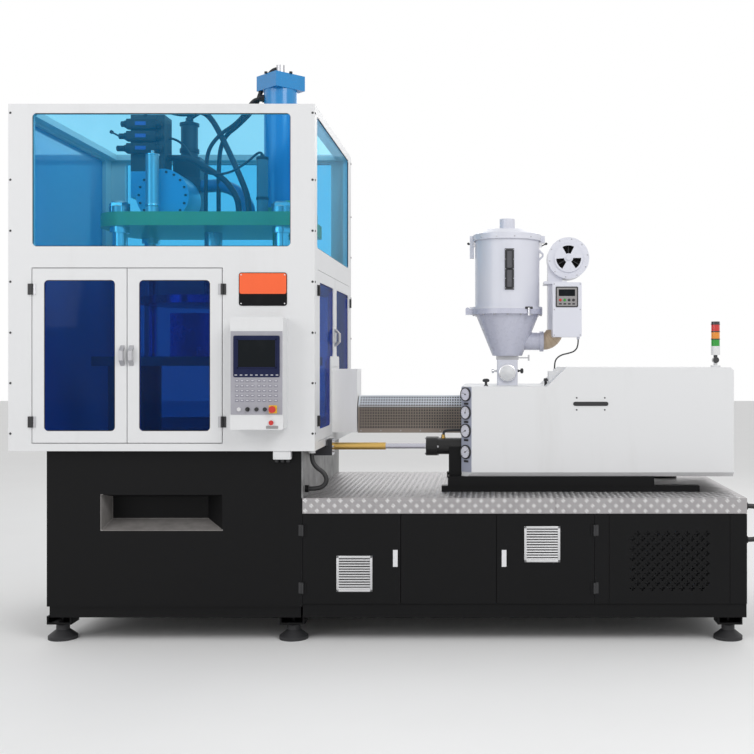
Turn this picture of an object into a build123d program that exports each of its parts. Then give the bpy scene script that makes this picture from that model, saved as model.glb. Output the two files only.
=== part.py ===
"""Injection stretch blow moulding machine: a press cabinet on a clad base, with a horizontal
injection unit and its hopper dryer on a chequer plate deck.

Stations are measured from the cabinet: x from its left face, y from its front face towards the
back, z from the floor. The part's own origin lies on the floor under the middle of its box.
"""
import os
from math import radians, tan

from build123d import *

os.makedirs("parts", exist_ok=True)

# General
overrun = 5
face_gap = 0.3
running_gap = 0.3

# Cabinet
cabinet_length = 1840
cabinet_depth = 1700
cabinet_floor = 1165
cabinet_seam = 2300
cabinet_top = 3250
wall = 40
pane = 8
pane_recess = 6
window_corner = 26
upper_window_side_margin = 145
upper_window_low_margin = 94
upper_window_top_margin = 56
side_window_front_margin = 90
side_window_rear_margin = 158
roof_rim = 60
rear_post = 70

# Cabinet doors
door_thick = 30
door_right_margin = 558
door_gap = 5
door_side_margin = 145
door_low_margin = 50
door_top_margin = 38
door_frame = 70
door_lip = 34
handle_length = 126
handle_width = 25
handle_out = 34
handle_bar = 11
handle_inset = 12
side_door_front_margin = 120
side_door_rear_margin = 100
side_notch_margin = 12
side_notch_rise = 15
side_handle_rise = 134

# Hinges
hinge_length = 66
hinge_radius = 8
hinge_leaf = 4
hinge_leaf_width = 24
hinge_inset = 125
deck_hinge_inset = 97

# Base
base_inset_left = 207
base_inset_right = 84
base_inset_front = 60
base_wall = 40
base_top_plate = 45
plinth_top = 218
plinth_bottom = 150
plinth_inset = 12

# Chute in the base
chute_offset = 325
chute_width = 742
chute_bottom = 677
chute_height = 222
chute_depth = 180
chute_sheet = 4
chute_left_splay = 8
chute_right_splay = 130
chute_floor_rise = 45
chute_top_fall = 30

# Deck
deck_height = 875
deck_sheet = 6
deck_skirt = 93
deck_joint_share = 0.57
deck_joint_gap = 2
deck_door_width = 595
deck_panel_width = 580
deck_post = 87
perforated_width = 734
deck_end_frame = 102
deck_door_thick = 22
deck_door_gap = 4
deck_door_bottom = 235
deck_frame_wall = 36
deck_frame_lip = 45
vent_size = 218
vent_slats = 18
vent_slot_share = 0.4
vent_left_offset = 206
vent_left_bottom = 309
vent_right_offset = 168
vent_right_bottom = 488
lock_width = 28
lock_height = 102
lock_out = 9
lock_inset = 32
lock_bottom = 461
plus_pitch = 60
plus_columns = 8
plus_rows = 6
plus_size = 33
plus_arm = 11
plus_centre_height = 495

# Feet
foot_inset_left = 56
foot_inset_middle = 72
foot_inset_right = 92
foot_inset_front = 110
foot_pad_radius = 88
foot_pad_rim = 20
foot_boss_radius = 40
foot_boss_height = 88
foot_cone_height = 58
foot_stud_radius = 14
foot_nut_radius = 25
foot_nut_height = 10
foot_plate_length = 150
foot_plate_width = 130
foot_plate_sheet = 12
foot_rib = 10

# Operator box
panel_width = 312
panel_side_margin = 163
panel_low_margin = 137
panel_height = 662
panel_out = 140
panel_corner = 8
panel_sheet = 3
panel_face_width = 304
panel_face_height = 490
panel_face_low = 89
panel_face_sheet = 3
estop_out = 35
estop_radius = 20
estop_head = 16
estop_stem_radius = 11
estop_plate = 47
estop_plate_sheet = 3
switch_height = 120
estop_side_margin = 59
selector_side_margin = 208
selector_radius = 13
selector_ring = 6
selector_shaft_radius = 6
selector_grip = 12
selector_grip_width = 7
key_side_margin = 258
key_radius = 12
key_out = 8
button_radius = 12
button_out = 8
button_left_margin = 155
button_right_margin = 106
low_button_side_margin = 69
low_button_height = 41
low_button_radius = 14
low_button_ring = 20
low_button_ring_out = 6
low_button_out = 12
low_button_travel = 5

# Press
press_left = 340
press_right_margin = 150
press_width = 840
tie_inset_x = 150
tie_inset_y = 95
tie_radius = 45
tie_sleeve_radius = 72
tie_nut_radius = 68
tie_nut_height = 62
lower_platen_top = 1735
lower_platen_sheet = 60
upper_platen_bottom = 2576
upper_platen_sheet = 88
platen_step = 57
platen_step_length = 330
platen_step_width = 400
platen_corner = 40
platen_left_corner = 200
tie_collar_radius = 62
tie_collar_height = 40
core_platen_bottom = 2300
core_platen_sheet = 60
core_platen_stroke = 150
rotary_radius = 470
rotary_bottom = 2080
rotary_sheet = 50
rotary_shaft_radius = 60
mould_length = 250
mould_width = 300
mould_height = 290
mould_cavity_radius = 45
mould_neck_radius = 20
mould_neck_height = 60
mould_floor = 60
clamp_inset = 218
clamp_radius = 112
clamp_bore = 75
clamp_rod_radius = 55
clamp_rod_reach = 250
clamp_bore_spare = 80
clamp_top = 3536
clamp_flange = 232
clamp_flange_height = 100
clamp_fitting_radius = 30
clamp_fitting_height = 74
drum_valve_radius = 172
drum_valve_length = 300
drum_valve_lift = 120
drum_valve_offset = 423
drum_valve_inset = 105
filter_radius = 42
filter_height = 367
filter_offset = 374
filter_inset = 55
manifold_length = 224
manifold_width = 160
manifold_height = 666
manifold_offset = 183
manifold_inset = 210
pump_length = 184
pump_width = 150
pump_height = 427
pump_offset = 400
pump_inset = 420
accumulator_radius = 57
accumulator_height = 225
thin_cylinder_radius = 37
thin_cylinder_height = 360
thin_cylinder_offset = 290
thin_cylinder_forward = 250

# Injection carriage
carriage_stroke = 250
rail_height = 38
rail_width = 70
rail_inset = 5
rail_lead = 40
sled_inset = 20
sled_length = 1311
sled_height = 60
sled_overhang = 87
pedestal_length = 80
pedestal_width = 110
pedestal_inset = 4
cover_end_margin = 12
cover_length = 1726
cover_width = 980
cover_low_rise = 194
cover_rise = 316
cover_slope_start = 542
cover_slope_run = 124
cover_sheet = 6
cover_strip = 65
cover_foot_bevel = 28
cover_end_cut = 20
gauge_radius = 42
gauge_out = 9
gauge_sheet = 4
gauge_plate_share = 1.36
gauge_shares = (0.235, 0.485, 0.70, 0.915)
gauge_strip_top_margin = 4
slope_box_length = 86
slope_box_width = 120
slope_box_drop = 26
slope_box_setback = 230
slope_box_offset = 22

# Barrel
barrel_height = 1350
barrel_radius = 62
barrel_bore = 30
barrel_length = 760
nozzle_radius = 24
nozzle_length = 150
nozzle_bore = 8
nozzle_hole = 90
heater_radius = 78
heater_length = 120
heater_count = 4
heater_pitch = 150
heater_start = 60
screw_tip = 60
screw_lead = 40
block_gap = 14
block_rise = 110
block_length = 190
block_width = 260
drive_length = 700
drive_radius = 105
drive_foot_length = 60
drive_foot_width = 260
guard_drop = 122
guard_shoulder_rise = 55
guard_rise = 121
guard_half_width = 120
guard_sheet = 3
guard_knee_angle = 45
guard_length = 700
guard_hole = 26
guard_hole_pitch = 44
guard_columns = 14
guard_rows = 3
purge_length = 164
purge_drop = 120
purge_rise = 303
purge_half_width = 120
purge_sheet = 4

# Carriage cylinder
cylinder_height = 1158
cylinder_inset = 130
cylinder_radius = 53
cylinder_bore = 40
cylinder_length = 440
cylinder_flange_radius = 61
cylinder_flange_length = 73
cylinder_out = 230
rod_radius = 17
rod_length = 740
sleeve_radius = 23
sleeve_length = 338
anchor_plate = 33
anchor_width = 110
anchor_clear = 8
anchor_arm_height = 55
anchor_top = 46

# Hopper dryer
hopper_offset = 298
throat_length = 138
throat_height = 171
throat_corner = 10
throat_bore = 45
throat_cover_radius = 54
throat_cover_out = 12
throat_cover_height = 81
throat_half_width = 69
gate_sheet = 8
gate_length = 200
gate_width = 104
gate_tab = 9
gate_tab_height = 40
gate_lead = 60
gate_slot_height = 27
gate_frame_length = 150
cone_bottom_radius = 100
cone_top_radius = 214
cone_height = 278
cone_sheet = 5
cone_flange_height = 34
cone_flange_radius = 238
drum_radius = 218
drum_height = 462
drum_sheet = 5
drum_flange_height = 16
drum_hinge_out = 30
drum_hinge_width = 90
drum_hinge_radius = 14
drum_hinge_drop = 34
sight_width = 62
sight_height = 272
sight_out = 6
sight_low = 122
sight_offset = 11
sight_seat_share = 0.8
drum_handle_height = 84
drum_handle_out = 32
drum_handle_bar = 10
drum_handle_width = 24
drum_handle_low = 328
lid_height = 68
lid_radius = 232
lid_sheet = 5
lid_rim = 40
lid_shoulder = 190
lid_seat = 24
outlet_radius = 52
outlet_height = 83
outlet_sheet = 4
latch_length = 22
latch_width = 44
latch_drop = 114
latch_short_drop = 10
latch_rise = 36
latch_seat = 6
air_pipe_radius = 60
air_pipe_lift = 99
air_pipe_bore = 52
air_flange_radius = 70
air_flange_length = 26
air_pipe_end = 245
elbow_turn = 76
elbow_radius = 58
elbow_bore = 50
box_offset = 294
box_length = 190
box_depth = 178
box_lift = 123
box_height = 358
box_corner = 10
box_sheet = 4
box_gland_inset = 19
box_gland_setback = 53
fan_radius = 139
fan_width = 190
fan_offset = 409
fan_lift = 174
fan_sheet = 6
fan_outlet_length = 95
fan_outlet_width = 150
fan_flange_height = 18
fan_flange_margin = 28
fan_motor_radius = 70
fan_motor_length = 110
fan_motor_socket = 40
damper_radius = 96
damper_sheet = 8
damper_pin_radius = 6
damper_hub_radius = 16
damper_hub_out = 10
damper_openings = 3
damper_opening_angle = 56
damper_inner_radius = 30
damper_outer_radius = 84
impeller_radius = 112
impeller_width = 90
impeller_blades = 12
impeller_blade = 5
impeller_plate = 6
impeller_shaft_radius = 14
impeller_hub_radius = 34
impeller_clear = 20

# Signal tower
tower_inset = 67
tower_setback = 240
tower_radius = 30
tower_lens_height = 42
tower_rim_height = 7
tower_cap_height = 14
tower_base_height = 58
tower_pole_radius = 13
tower_knuckle_radius = 20
tower_knuckle_width = 44
tower_foot_height = 12
tower_foot_radius = 32
tower_knuckle_height = 47
tower_base_lift = 33
tower_lens_inset = 2
tower_lenses = 3

# Free cables and hoses, with their routes as steps along x and z from where they start
cable_radius = 4.75
gland_radius = 10
gland_height = 16
conduit_radius = 14
end_hose_radius = 15
hose_fitting_radius = 22
hose_fitting_length = 24
hose_setback = 90
conduit_offset = 42
conduit_low = 922
end_hose_high = 816
end_hose_low = 610
arc_share = 0.45
cable_steps = (
    (0, 0), (0, -44), (-24, -79), (-66, -92), (-108, -101), (-141, -122), (-156, -153), (-156, -193),
)
conduit_steps = (
    (0, 0), (0, -47), (28, -89), (74, -119), (96, -167), (70, -207), (24, -219), (-18, -219),
)
end_hose_steps = (
    (0, 0), (53, 0), (105, -26), (135, -76), (135, -132), (103, -180), (53, -206), (0, -206),
)

# Stations worked out from the sizes above
base_left = base_inset_left
base_right = cabinet_length - base_inset_right
base_front = base_inset_front
base_back = cabinet_depth - base_inset_front
middle_panel_left = base_right + deck_door_width
right_door_left = middle_panel_left + deck_panel_width
post_left = right_door_left + deck_door_width
perforated_left = post_left + deck_post
perforated_right = perforated_left + perforated_width
deck_right = perforated_right + deck_end_frame
deck_frame_front = base_front + deck_door_thick + face_gap
deck_frame_top = deck_height - deck_sheet
deck_door_top = deck_height - deck_skirt - deck_door_gap
axis_y = cabinet_depth / 2
side_door_split = axis_y
middle_x = (deck_right + hose_fitting_length) / 2
hose_y = base_front + hose_setback
middle_y = (cabinet_depth - panel_out - estop_out) / 2

door_bottom = cabinet_floor + door_low_margin
door_top = cabinet_seam - door_top_margin
door_width = (cabinet_length - door_side_margin - door_right_margin - door_gap) / 2
left_door_left = door_side_margin
left_door_right = left_door_left + door_width
right_front_left = left_door_right + door_gap
right_front_right = right_front_left + door_width
purge_bottom = barrel_height - purge_drop
purge_top = barrel_height + purge_rise
side_front_start = side_door_front_margin
side_rear_end = cabinet_depth - side_door_rear_margin
side_notch_top = purge_top + side_notch_rise
side_notch_front = axis_y - purge_half_width - side_notch_margin
side_notch_rear = axis_y + purge_half_width + side_notch_margin
door_hinge_heights = (door_bottom + hinge_inset, door_top - hinge_inset)
deck_hinge_heights = (deck_door_bottom + deck_hinge_inset, deck_door_top - deck_hinge_inset)

panel_right = cabinet_length - panel_side_margin
panel_left = panel_right - panel_width
panel_bottom = cabinet_floor + panel_low_margin
panel_middle = (panel_left + panel_right) / 2
panel_face_front = -panel_out - panel_face_sheet
switch_z = panel_bottom + switch_height
estop_x = panel_right - estop_side_margin
selector_x = panel_right - selector_side_margin
low_button_x = panel_right - low_button_side_margin
low_button_z = panel_bottom + low_button_height

press_right = cabinet_length - press_right_margin
press_middle = (press_left + press_right) / 2
press_front = axis_y - press_width / 2
press_back = axis_y + press_width / 2
tie_places = [
    (press_left + tie_inset_x, press_front + tie_inset_y),
    (press_right - tie_inset_x, press_front + tie_inset_y),
    (press_left + tie_inset_x, press_back - tie_inset_y),
    (press_right - tie_inset_x, press_back - tie_inset_y),
]
upper_platen_top = upper_platen_bottom + upper_platen_sheet
clamp_x = press_right - clamp_inset
clamp_foot = upper_platen_top + platen_step

cover_low_top = barrel_height + cover_low_rise
cover_top = barrel_height + cover_rise
slope_box_top = cover_top - slope_box_drop
cover_right = deck_right - cover_end_margin
cover_left = cover_right - cover_length
cover_front = axis_y - cover_width / 2
cover_back = axis_y + cover_width / 2
rail_top = deck_height + rail_height
rail_length = sled_length + carriage_stroke + 2 * rail_lead
sled_bottom = rail_top + face_gap
cover_bottom = sled_bottom + sled_height
sled_left = cover_left - sled_overhang
hopper_x = cover_left + hopper_offset
guard_bottom = barrel_height - guard_drop
guard_shoulder = barrel_height + guard_shoulder_rise
guard_top = barrel_height + guard_rise
cylinder_y = cover_front + cylinder_inset
cylinder_left = cover_left - cylinder_out
throat_top = cover_low_top + throat_height
cone_bottom = throat_top + gate_slot_height
cone_top = cone_bottom + cone_height
air_pipe_height = cone_bottom + air_pipe_lift
box_bottom = cone_bottom + box_lift
drum_bottom = cone_top + cone_flange_height
drum_top = drum_bottom + drum_height
box_left = hopper_x + box_offset
box_back = axis_y - fan_outlet_width / 2
box_front = box_back - box_depth
box_top = box_bottom + box_height
duct_x = hopper_x + air_pipe_end + elbow_turn
duct_bottom = air_pipe_height + elbow_turn
fan_x = hopper_x + fan_offset
fan_z = box_top + fan_lift
fan_front = axis_y - fan_width / 2
fan_back = axis_y + fan_width / 2
tower_x = cover_right - tower_inset
tower_y = cover_front + tower_setback
tower_knuckle_z = cover_top + tower_knuckle_height

X_OUT = Vector(1, 0, 0)
Y_OUT = Vector(0, 1, 0)
Z_OUT = Vector(0, 0, 1)


def at(x, y, z):
    """A point given in stations, in the part's own frame."""
    return Vector(x - middle_x, y - middle_y, z)


def block(x0, x1, y0, y1, z0, z1, mode=Mode.ADD):
    """A box between two stations on each axis."""
    with Locations(at((x0 + x1) / 2, (y0 + y1) / 2, (z0 + z1) / 2)):
        Box(x1 - x0, y1 - y0, z1 - z0, mode=mode)


def bar(x, y, z, direction, radius, length, mode=Mode.ADD):
    """A round bar from a station along a direction."""
    with Locations(Plane(origin=at(x, y, z), z_dir=direction)):
        Cylinder(radius, length, align=(Align.CENTER, Align.CENTER, Align.MIN), mode=mode)


def prism_x(outline, x0, x1, mode=Mode.ADD, corner=0):
    """An outline of (y, z) stations, drawn out along x."""
    with BuildSketch(Plane(origin=at(x0, 0, 0), x_dir=Y_OUT, z_dir=X_OUT)) as face:
        with BuildLine():
            Polyline(outline, close=True)
        make_face()
        if corner:
            fillet(face.vertices(), corner)
    extrude(face.sketch, amount=x1 - x0, mode=mode)


def prism_y(outline, y0, y1, mode=Mode.ADD, corner=0):
    """An outline of (x, z) stations, drawn out along y."""
    with BuildSketch(Plane(origin=at(0, y0, 0), x_dir=X_OUT, z_dir=-Y_OUT)) as face:
        with BuildLine():
            Polyline(outline, close=True)
        make_face()
        if corner:
            fillet(face.vertices(), corner)
    extrude(face.sketch, amount=y0 - y1, mode=mode)


def lathe(x, y, outline, mode=Mode.ADD):
    """An outline of (radius, z), turned about an upright axis."""
    with BuildSketch(Plane(origin=at(x, y, 0), x_dir=X_OUT, z_dir=-Y_OUT)) as half:
        with BuildLine():
            Polyline(outline, close=True)
        make_face()
    revolve(half.sketch, axis=Axis(at(x, y, 0), Z_OUT), mode=mode)


def rectangle(a0, a1, b0, b1):
    """The corners of a rectangle, for a prism."""
    return [(a0, b0), (a1, b0), (a1, b1), (a0, b1)]


def grown(outline, margin):
    """A rectangle moved outwards by a margin."""
    middle_a = sum(a for a, b in outline) / len(outline)
    middle_b = sum(b for a, b in outline) / len(outline)
    return [
        (a + margin if a > middle_a else a - margin, b + margin if b > middle_b else b - margin)
        for a, b in outline
    ]


def keep(builder, label):
    """Name a finished piece and write it out."""
    builder.part.label = label
    export_step(builder.part, f"parts/{label}.step")


# Base with its plinth and the opening for the chute
chute_left = base_left + chute_offset
chute_right = chute_left + chute_width
chute_top = chute_bottom + chute_height

with BuildPart() as machine_base:
    block(base_left, base_right, base_front, base_back, plinth_top, cabinet_floor)
    block(base_left + plinth_inset, base_right - plinth_inset, base_front + plinth_inset,
          base_back - plinth_inset, plinth_bottom, plinth_top)
    block(base_left + base_wall, base_right - base_wall, base_front + base_wall, base_back - base_wall,
          plinth_bottom - overrun, cabinet_floor - base_top_plate, Mode.SUBTRACT)
    block(chute_left, chute_right, base_front - overrun, base_front + base_wall + overrun,
          chute_bottom, chute_top, Mode.SUBTRACT)
    bar(base_right, hose_y, conduit_low, X_OUT, hose_fitting_radius, hose_fitting_length)
keep(machine_base, "machine_base")


def chute_form(inset, reach, mode):
    """The splayed recess, moved in by a wall thickness."""
    sections = []
    for depth, grow in ((0, 0), (reach, 1)):
        left = chute_left + face_gap + inset + grow * chute_left_splay
        right = chute_right - face_gap - inset - grow * chute_right_splay
        low = chute_bottom + face_gap + inset + grow * chute_floor_rise
        high = chute_top - face_gap - inset - grow * chute_top_fall
        plane = Plane(origin=at((left + right) / 2, base_front + depth, (low + high) / 2),
                      x_dir=X_OUT, z_dir=-Y_OUT)
        with BuildSketch(plane) as section:
            Rectangle(right - left, high - low)
        sections.append(section.sketch)
    loft(sections, mode=mode)


with BuildPart() as chute:
    chute_form(0, chute_depth, Mode.ADD)
    chute_form(chute_sheet, chute_depth - chute_sheet, Mode.SUBTRACT)
keep(chute, "chute")

# Deck frame, its plates and front panels
bays = [
    (base_right, middle_panel_left),
    (middle_panel_left, right_door_left),
    (right_door_left, post_left),
    (perforated_left, perforated_right),
]

with BuildPart() as deck_base:
    block(base_right, deck_right, deck_frame_front, base_back, plinth_bottom, deck_frame_top)
    block(base_right + deck_frame_wall, deck_right - deck_frame_wall, deck_frame_front + deck_frame_wall,
          base_back - deck_frame_wall, plinth_bottom - overrun, deck_frame_top - deck_frame_wall,
          Mode.SUBTRACT)
    for bay_left, bay_right in bays:
        block(bay_left + deck_frame_lip, bay_right - deck_frame_lip, deck_frame_front - overrun,
              deck_frame_front + deck_frame_wall + overrun, deck_door_bottom + deck_frame_lip,
              deck_door_top - deck_frame_lip, Mode.SUBTRACT)
    block(middle_panel_left + deck_door_gap / 2, right_door_left - deck_door_gap / 2, base_front,
          deck_frame_front, deck_door_bottom, deck_door_top)
    block(post_left, perforated_left, base_front, deck_frame_front, deck_door_bottom, deck_door_top)
    block(perforated_right, deck_right, base_front, deck_frame_front, deck_door_bottom, deck_door_top)
    block(base_right, deck_right, base_front + plinth_inset, deck_frame_front, plinth_bottom,
          deck_door_bottom - deck_door_gap)
    for z in (end_hose_high, end_hose_low):
        bar(deck_right, hose_y, z, X_OUT, hose_fitting_radius, hose_fitting_length)
keep(deck_base, "deck_base")

deck_joint = base_right + (deck_right - base_right) * deck_joint_share
with BuildPart() as deck_plates:
    for plate_left, plate_right in ((base_right, deck_joint - deck_joint_gap / 2),
                                    (deck_joint + deck_joint_gap / 2, deck_right)):
        block(plate_left, plate_right, base_front, base_back, deck_frame_top, deck_height)
        block(plate_left, plate_right, base_front, base_front + deck_sheet, deck_height - deck_skirt,
              deck_frame_top)
keep(deck_plates, "deck_plates")

perforated_middle = (perforated_left + perforated_right) / 2
with BuildPart() as deck_perforated_panel:
    block(perforated_left + deck_door_gap / 2, perforated_right - deck_door_gap / 2, base_front,
          deck_frame_front, deck_door_bottom, deck_door_top)
    holes_plane = Plane(origin=at(perforated_middle, base_front - overrun, plus_centre_height),
                        x_dir=X_OUT, z_dir=-Y_OUT)
    with BuildSketch(holes_plane) as plus_holes:
        for shift in (-plus_pitch / 4, plus_pitch / 4):
            with Locations((shift, shift)):
                with GridLocations(plus_pitch, plus_pitch, plus_columns, plus_rows):
                    Rectangle(plus_size, plus_arm)
                    Rectangle(plus_arm, plus_size)
    extrude(amount=-(deck_door_thick + overrun + overrun), mode=Mode.SUBTRACT)
keep(deck_perforated_panel, "deck_perforated_panel")


def deck_door_form(door_left, door_right, vent_left, vent_bottom, lock_left):
    """A hung sheet door with a slotted vent and a lock."""
    block(door_left, door_right, base_front, base_front + deck_door_thick, deck_door_bottom, deck_door_top)
    slat_pitch = vent_size / vent_slats
    for slat in range(vent_slats):
        slot_bottom = vent_bottom + slat * slat_pitch
        block(vent_left, vent_left + vent_size, base_front - overrun, base_front + deck_door_thick + overrun,
              slot_bottom, slot_bottom + slat_pitch * vent_slot_share, Mode.SUBTRACT)
    block(lock_left, lock_left + lock_width, base_front - lock_out, base_front, lock_bottom,
          lock_bottom + lock_height)


def front_leaf(axis_x, face_y, side, heights):
    """Hinge leaves on a front face, starting just clear of the barrel."""
    near = axis_x + side * (hinge_radius + running_gap)
    far = axis_x + side * hinge_leaf_width
    for z in heights:
        block(min(near, far), max(near, far), face_y - hinge_leaf, face_y, z - hinge_length / 2,
              z + hinge_length / 2)


def side_leaf(axis_y_station, side, heights):
    """Hinge leaves on the cabinet's right face."""
    near = axis_y_station + side * (hinge_radius + running_gap)
    far = axis_y_station + side * hinge_leaf_width
    for z in heights:
        block(cabinet_length, cabinet_length + hinge_leaf, min(near, far), max(near, far),
              z - hinge_length / 2, z + hinge_length / 2)


deck_left_axis = base_right + deck_door_gap / 4
deck_right_axis = post_left - deck_door_gap / 4
with BuildPart() as deck_door_left:
    deck_door_form(base_right + deck_door_gap / 2, middle_panel_left - deck_door_gap / 2,
                   base_right + vent_left_offset, vent_left_bottom,
                   middle_panel_left - lock_inset - lock_width / 2)
    front_leaf(deck_left_axis, base_front, 1, deck_hinge_heights)
keep(deck_door_left, "deck_door_left")

with BuildPart() as deck_door_right:
    deck_door_form(right_door_left + deck_door_gap / 2, post_left - deck_door_gap / 2,
                   right_door_left + vent_right_offset, vent_right_bottom,
                   right_door_left + lock_inset)
    front_leaf(deck_right_axis, base_front, -1, deck_hinge_heights)
keep(deck_door_right, "deck_door_right")

# Levelling feet under the plinths
foot_places = [
    (x, y)
    for x in (base_left + foot_inset_left, base_right - foot_inset_middle, deck_right - foot_inset_right)
    for y in (base_front + foot_inset_front, base_back - foot_inset_front)
]
foot_plate_top = foot_boss_height + foot_nut_height + foot_plate_sheet

with BuildPart() as foot_brackets:
    for x, y in foot_places:
        block(x - foot_plate_length / 2, x + foot_plate_length / 2, y - foot_plate_width / 2,
              y + foot_plate_width / 2, foot_plate_top - foot_plate_sheet, foot_plate_top)
        for rib in (x - foot_plate_length / 2, x + foot_plate_length / 2 - foot_rib):
            block(rib, rib + foot_rib, y - foot_plate_width / 2, y + foot_plate_width / 2, foot_plate_top,
                  plinth_bottom)
        block(x - foot_plate_length / 2, x + foot_plate_length / 2, y + foot_plate_width / 2 - foot_rib,
              y + foot_plate_width / 2, foot_plate_top, plinth_bottom)
        bar(x, y, foot_boss_height, Z_OUT, foot_stud_radius, plinth_bottom - foot_boss_height - overrun)
        with BuildSketch(Plane(origin=at(x, y, foot_boss_height))) as nut:
            RegularPolygon(foot_nut_radius, 6)
        extrude(amount=foot_nut_height)
keep(foot_brackets, "foot_brackets")

with BuildPart() as foot_pads:
    for x, y in foot_places:
        lathe(x, y, [
            (0, 0), (foot_pad_radius, 0), (foot_pad_radius, foot_pad_rim),
            (foot_boss_radius, foot_cone_height), (foot_boss_radius, foot_boss_height),
            (0, foot_boss_height),
        ])
keep(foot_pads, "foot_pads")

# Cabinet shells
upper_window_bottom = cabinet_seam + upper_window_low_margin
upper_window_top = cabinet_top - upper_window_top_margin
front_window = rectangle(upper_window_side_margin, cabinet_length - upper_window_side_margin,
                         upper_window_bottom, upper_window_top)
side_window = rectangle(side_window_front_margin, cabinet_depth - side_window_rear_margin,
                        upper_window_bottom, upper_window_top)
rear_window_left = upper_window_side_margin
rear_window_right = cabinet_length - upper_window_side_margin
rear_windows = [
    rectangle(left, right, door_bottom + door_frame, door_top - door_frame)
    for left, right in (
        (rear_window_left, (cabinet_length - rear_post) / 2),
        ((cabinet_length + rear_post) / 2, rear_window_right),
    )
]
side_front_outline = [
    (side_front_start, door_bottom), (side_notch_front, door_bottom), (side_notch_front, side_notch_top),
    (side_door_split - door_gap / 2, side_notch_top), (side_door_split - door_gap / 2, door_top),
    (side_front_start, door_top),
]
side_rear_outline = [
    (side_rear_end, door_bottom), (side_notch_rear, door_bottom), (side_notch_rear, side_notch_top),
    (side_door_split + door_gap / 2, side_notch_top), (side_door_split + door_gap / 2, door_top),
    (side_rear_end, door_top),
]


def inset_door(outline, margin):
    """A notched side door's outline moved inwards by a margin, with the hinge side first."""
    inward = 1 if outline[1][0] > outline[0][0] else -1
    steps = [(1, 1), (-1, 1), (-1, 1), (-1, 1), (-1, -1), (1, -1)]
    return [
        (y + inward * step_y * margin, z + step_z * margin)
        for (y, z), (step_y, step_z) in zip(outline, steps)
    ]


def hollow_box(z0, z1, mode=Mode.ADD):
    """The four walls of a cabinet shell between two heights."""
    block(0, cabinet_length, 0, cabinet_depth, z0, z1, mode)
    block(wall, cabinet_length - wall, wall, cabinet_depth - wall, z0 - overrun, z1 + overrun, Mode.SUBTRACT)


with BuildPart() as cabinet_lower:
    hollow_box(cabinet_floor, cabinet_seam)
    block(wall, cabinet_length - wall, wall, cabinet_depth - wall, cabinet_floor, cabinet_floor + wall)
    block(base_left + base_wall, base_right - base_wall, base_front + base_wall, base_back - base_wall,
          cabinet_floor - overrun, cabinet_floor + wall + overrun, Mode.SUBTRACT)
    block(left_door_left - door_gap, right_front_right + door_gap, -overrun, door_thick + face_gap,
          door_bottom - door_gap, door_top + door_gap, Mode.SUBTRACT)
    block(left_door_left + door_lip, right_front_right - door_lip, -overrun, wall + overrun,
          door_bottom + door_lip, door_top - door_lip, Mode.SUBTRACT)
    for outline in rear_windows:
        prism_y(outline, cabinet_depth - wall - overrun, cabinet_depth + overrun, Mode.SUBTRACT,
                window_corner)
    for outline in (side_front_outline, side_rear_outline):
        prism_x(inset_door(outline, -door_gap / 2), cabinet_length - door_thick - face_gap,
                cabinet_length + overrun, Mode.SUBTRACT)
        prism_x(inset_door(outline, door_lip), cabinet_length - wall - overrun,
                cabinet_length + overrun, Mode.SUBTRACT)
    bar(cabinet_length - wall - overrun, axis_y, barrel_height, X_OUT, nozzle_hole,
        wall + overrun + overrun, Mode.SUBTRACT)
    bar(base_right + conduit_offset, hose_y, cabinet_floor - hose_fitting_length, Z_OUT, hose_fitting_radius,
        hose_fitting_length)
keep(cabinet_lower, "cabinet_lower")

with BuildPart() as cabinet_upper:
    hollow_box(cabinet_seam, cabinet_top)
    block(wall, cabinet_length - wall, wall, cabinet_depth - wall, cabinet_top - wall, cabinet_top)
    block(wall + roof_rim, cabinet_length - wall - roof_rim, wall + roof_rim, cabinet_depth - wall - roof_rim,
          cabinet_top - wall - overrun, cabinet_top + overrun, Mode.SUBTRACT)
    prism_y(front_window, -overrun, wall + overrun, Mode.SUBTRACT, window_corner)
    prism_y(front_window, cabinet_depth - wall - overrun, cabinet_depth + overrun, Mode.SUBTRACT,
            window_corner)
    prism_x(side_window, -overrun, wall + overrun, Mode.SUBTRACT, window_corner)
    prism_x(side_window, cabinet_length - wall - overrun, cabinet_length + overrun, Mode.SUBTRACT,
            window_corner)
keep(cabinet_upper, "cabinet_upper")

pane_corner = window_corner - face_gap
with BuildPart() as upper_windows:
    prism_y(grown(front_window, -face_gap), pane_recess, pane_recess + pane, Mode.ADD, pane_corner)
    for outline in (front_window, *rear_windows):
        prism_y(grown(outline, -face_gap), cabinet_depth - pane_recess - pane, cabinet_depth - pane_recess,
                Mode.ADD, pane_corner)
    prism_x(grown(side_window, -face_gap), pane_recess, pane_recess + pane, Mode.ADD, pane_corner)
    prism_x(grown(side_window, -face_gap), cabinet_length - pane_recess - pane,
            cabinet_length - pane_recess, Mode.ADD, pane_corner)
keep(upper_windows, "upper_windows")


def handle_outline(face, out, low, length, reach, thick):
    """A bowed pull handle seen from its side: a bar that bends back to the face at both ends."""
    high = low + length
    tip = face + out * reach
    inner = face + out * (reach - thick)
    return [
        (face, low), (tip, low + reach), (tip, high - reach), (face, high), (face, high - 2 * thick),
        (inner, high - reach - thick / 2), (inner, low + reach + thick / 2), (face, low + 2 * thick),
    ]


def front_door_form(door_left, door_right, handle_left):
    """A framed front door with its pull handle."""
    block(door_left, door_right, 0, door_thick, door_bottom, door_top)
    prism_y(rectangle(door_left + door_frame, door_right - door_frame, door_bottom + door_frame,
                      door_top - door_frame), -overrun, door_thick + overrun, Mode.SUBTRACT, window_corner)
    handle_low = (door_bottom + door_top - handle_length) / 2
    prism_x(handle_outline(0, -1, handle_low, handle_length, handle_out, handle_bar), handle_left,
            handle_left + handle_width)


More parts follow.
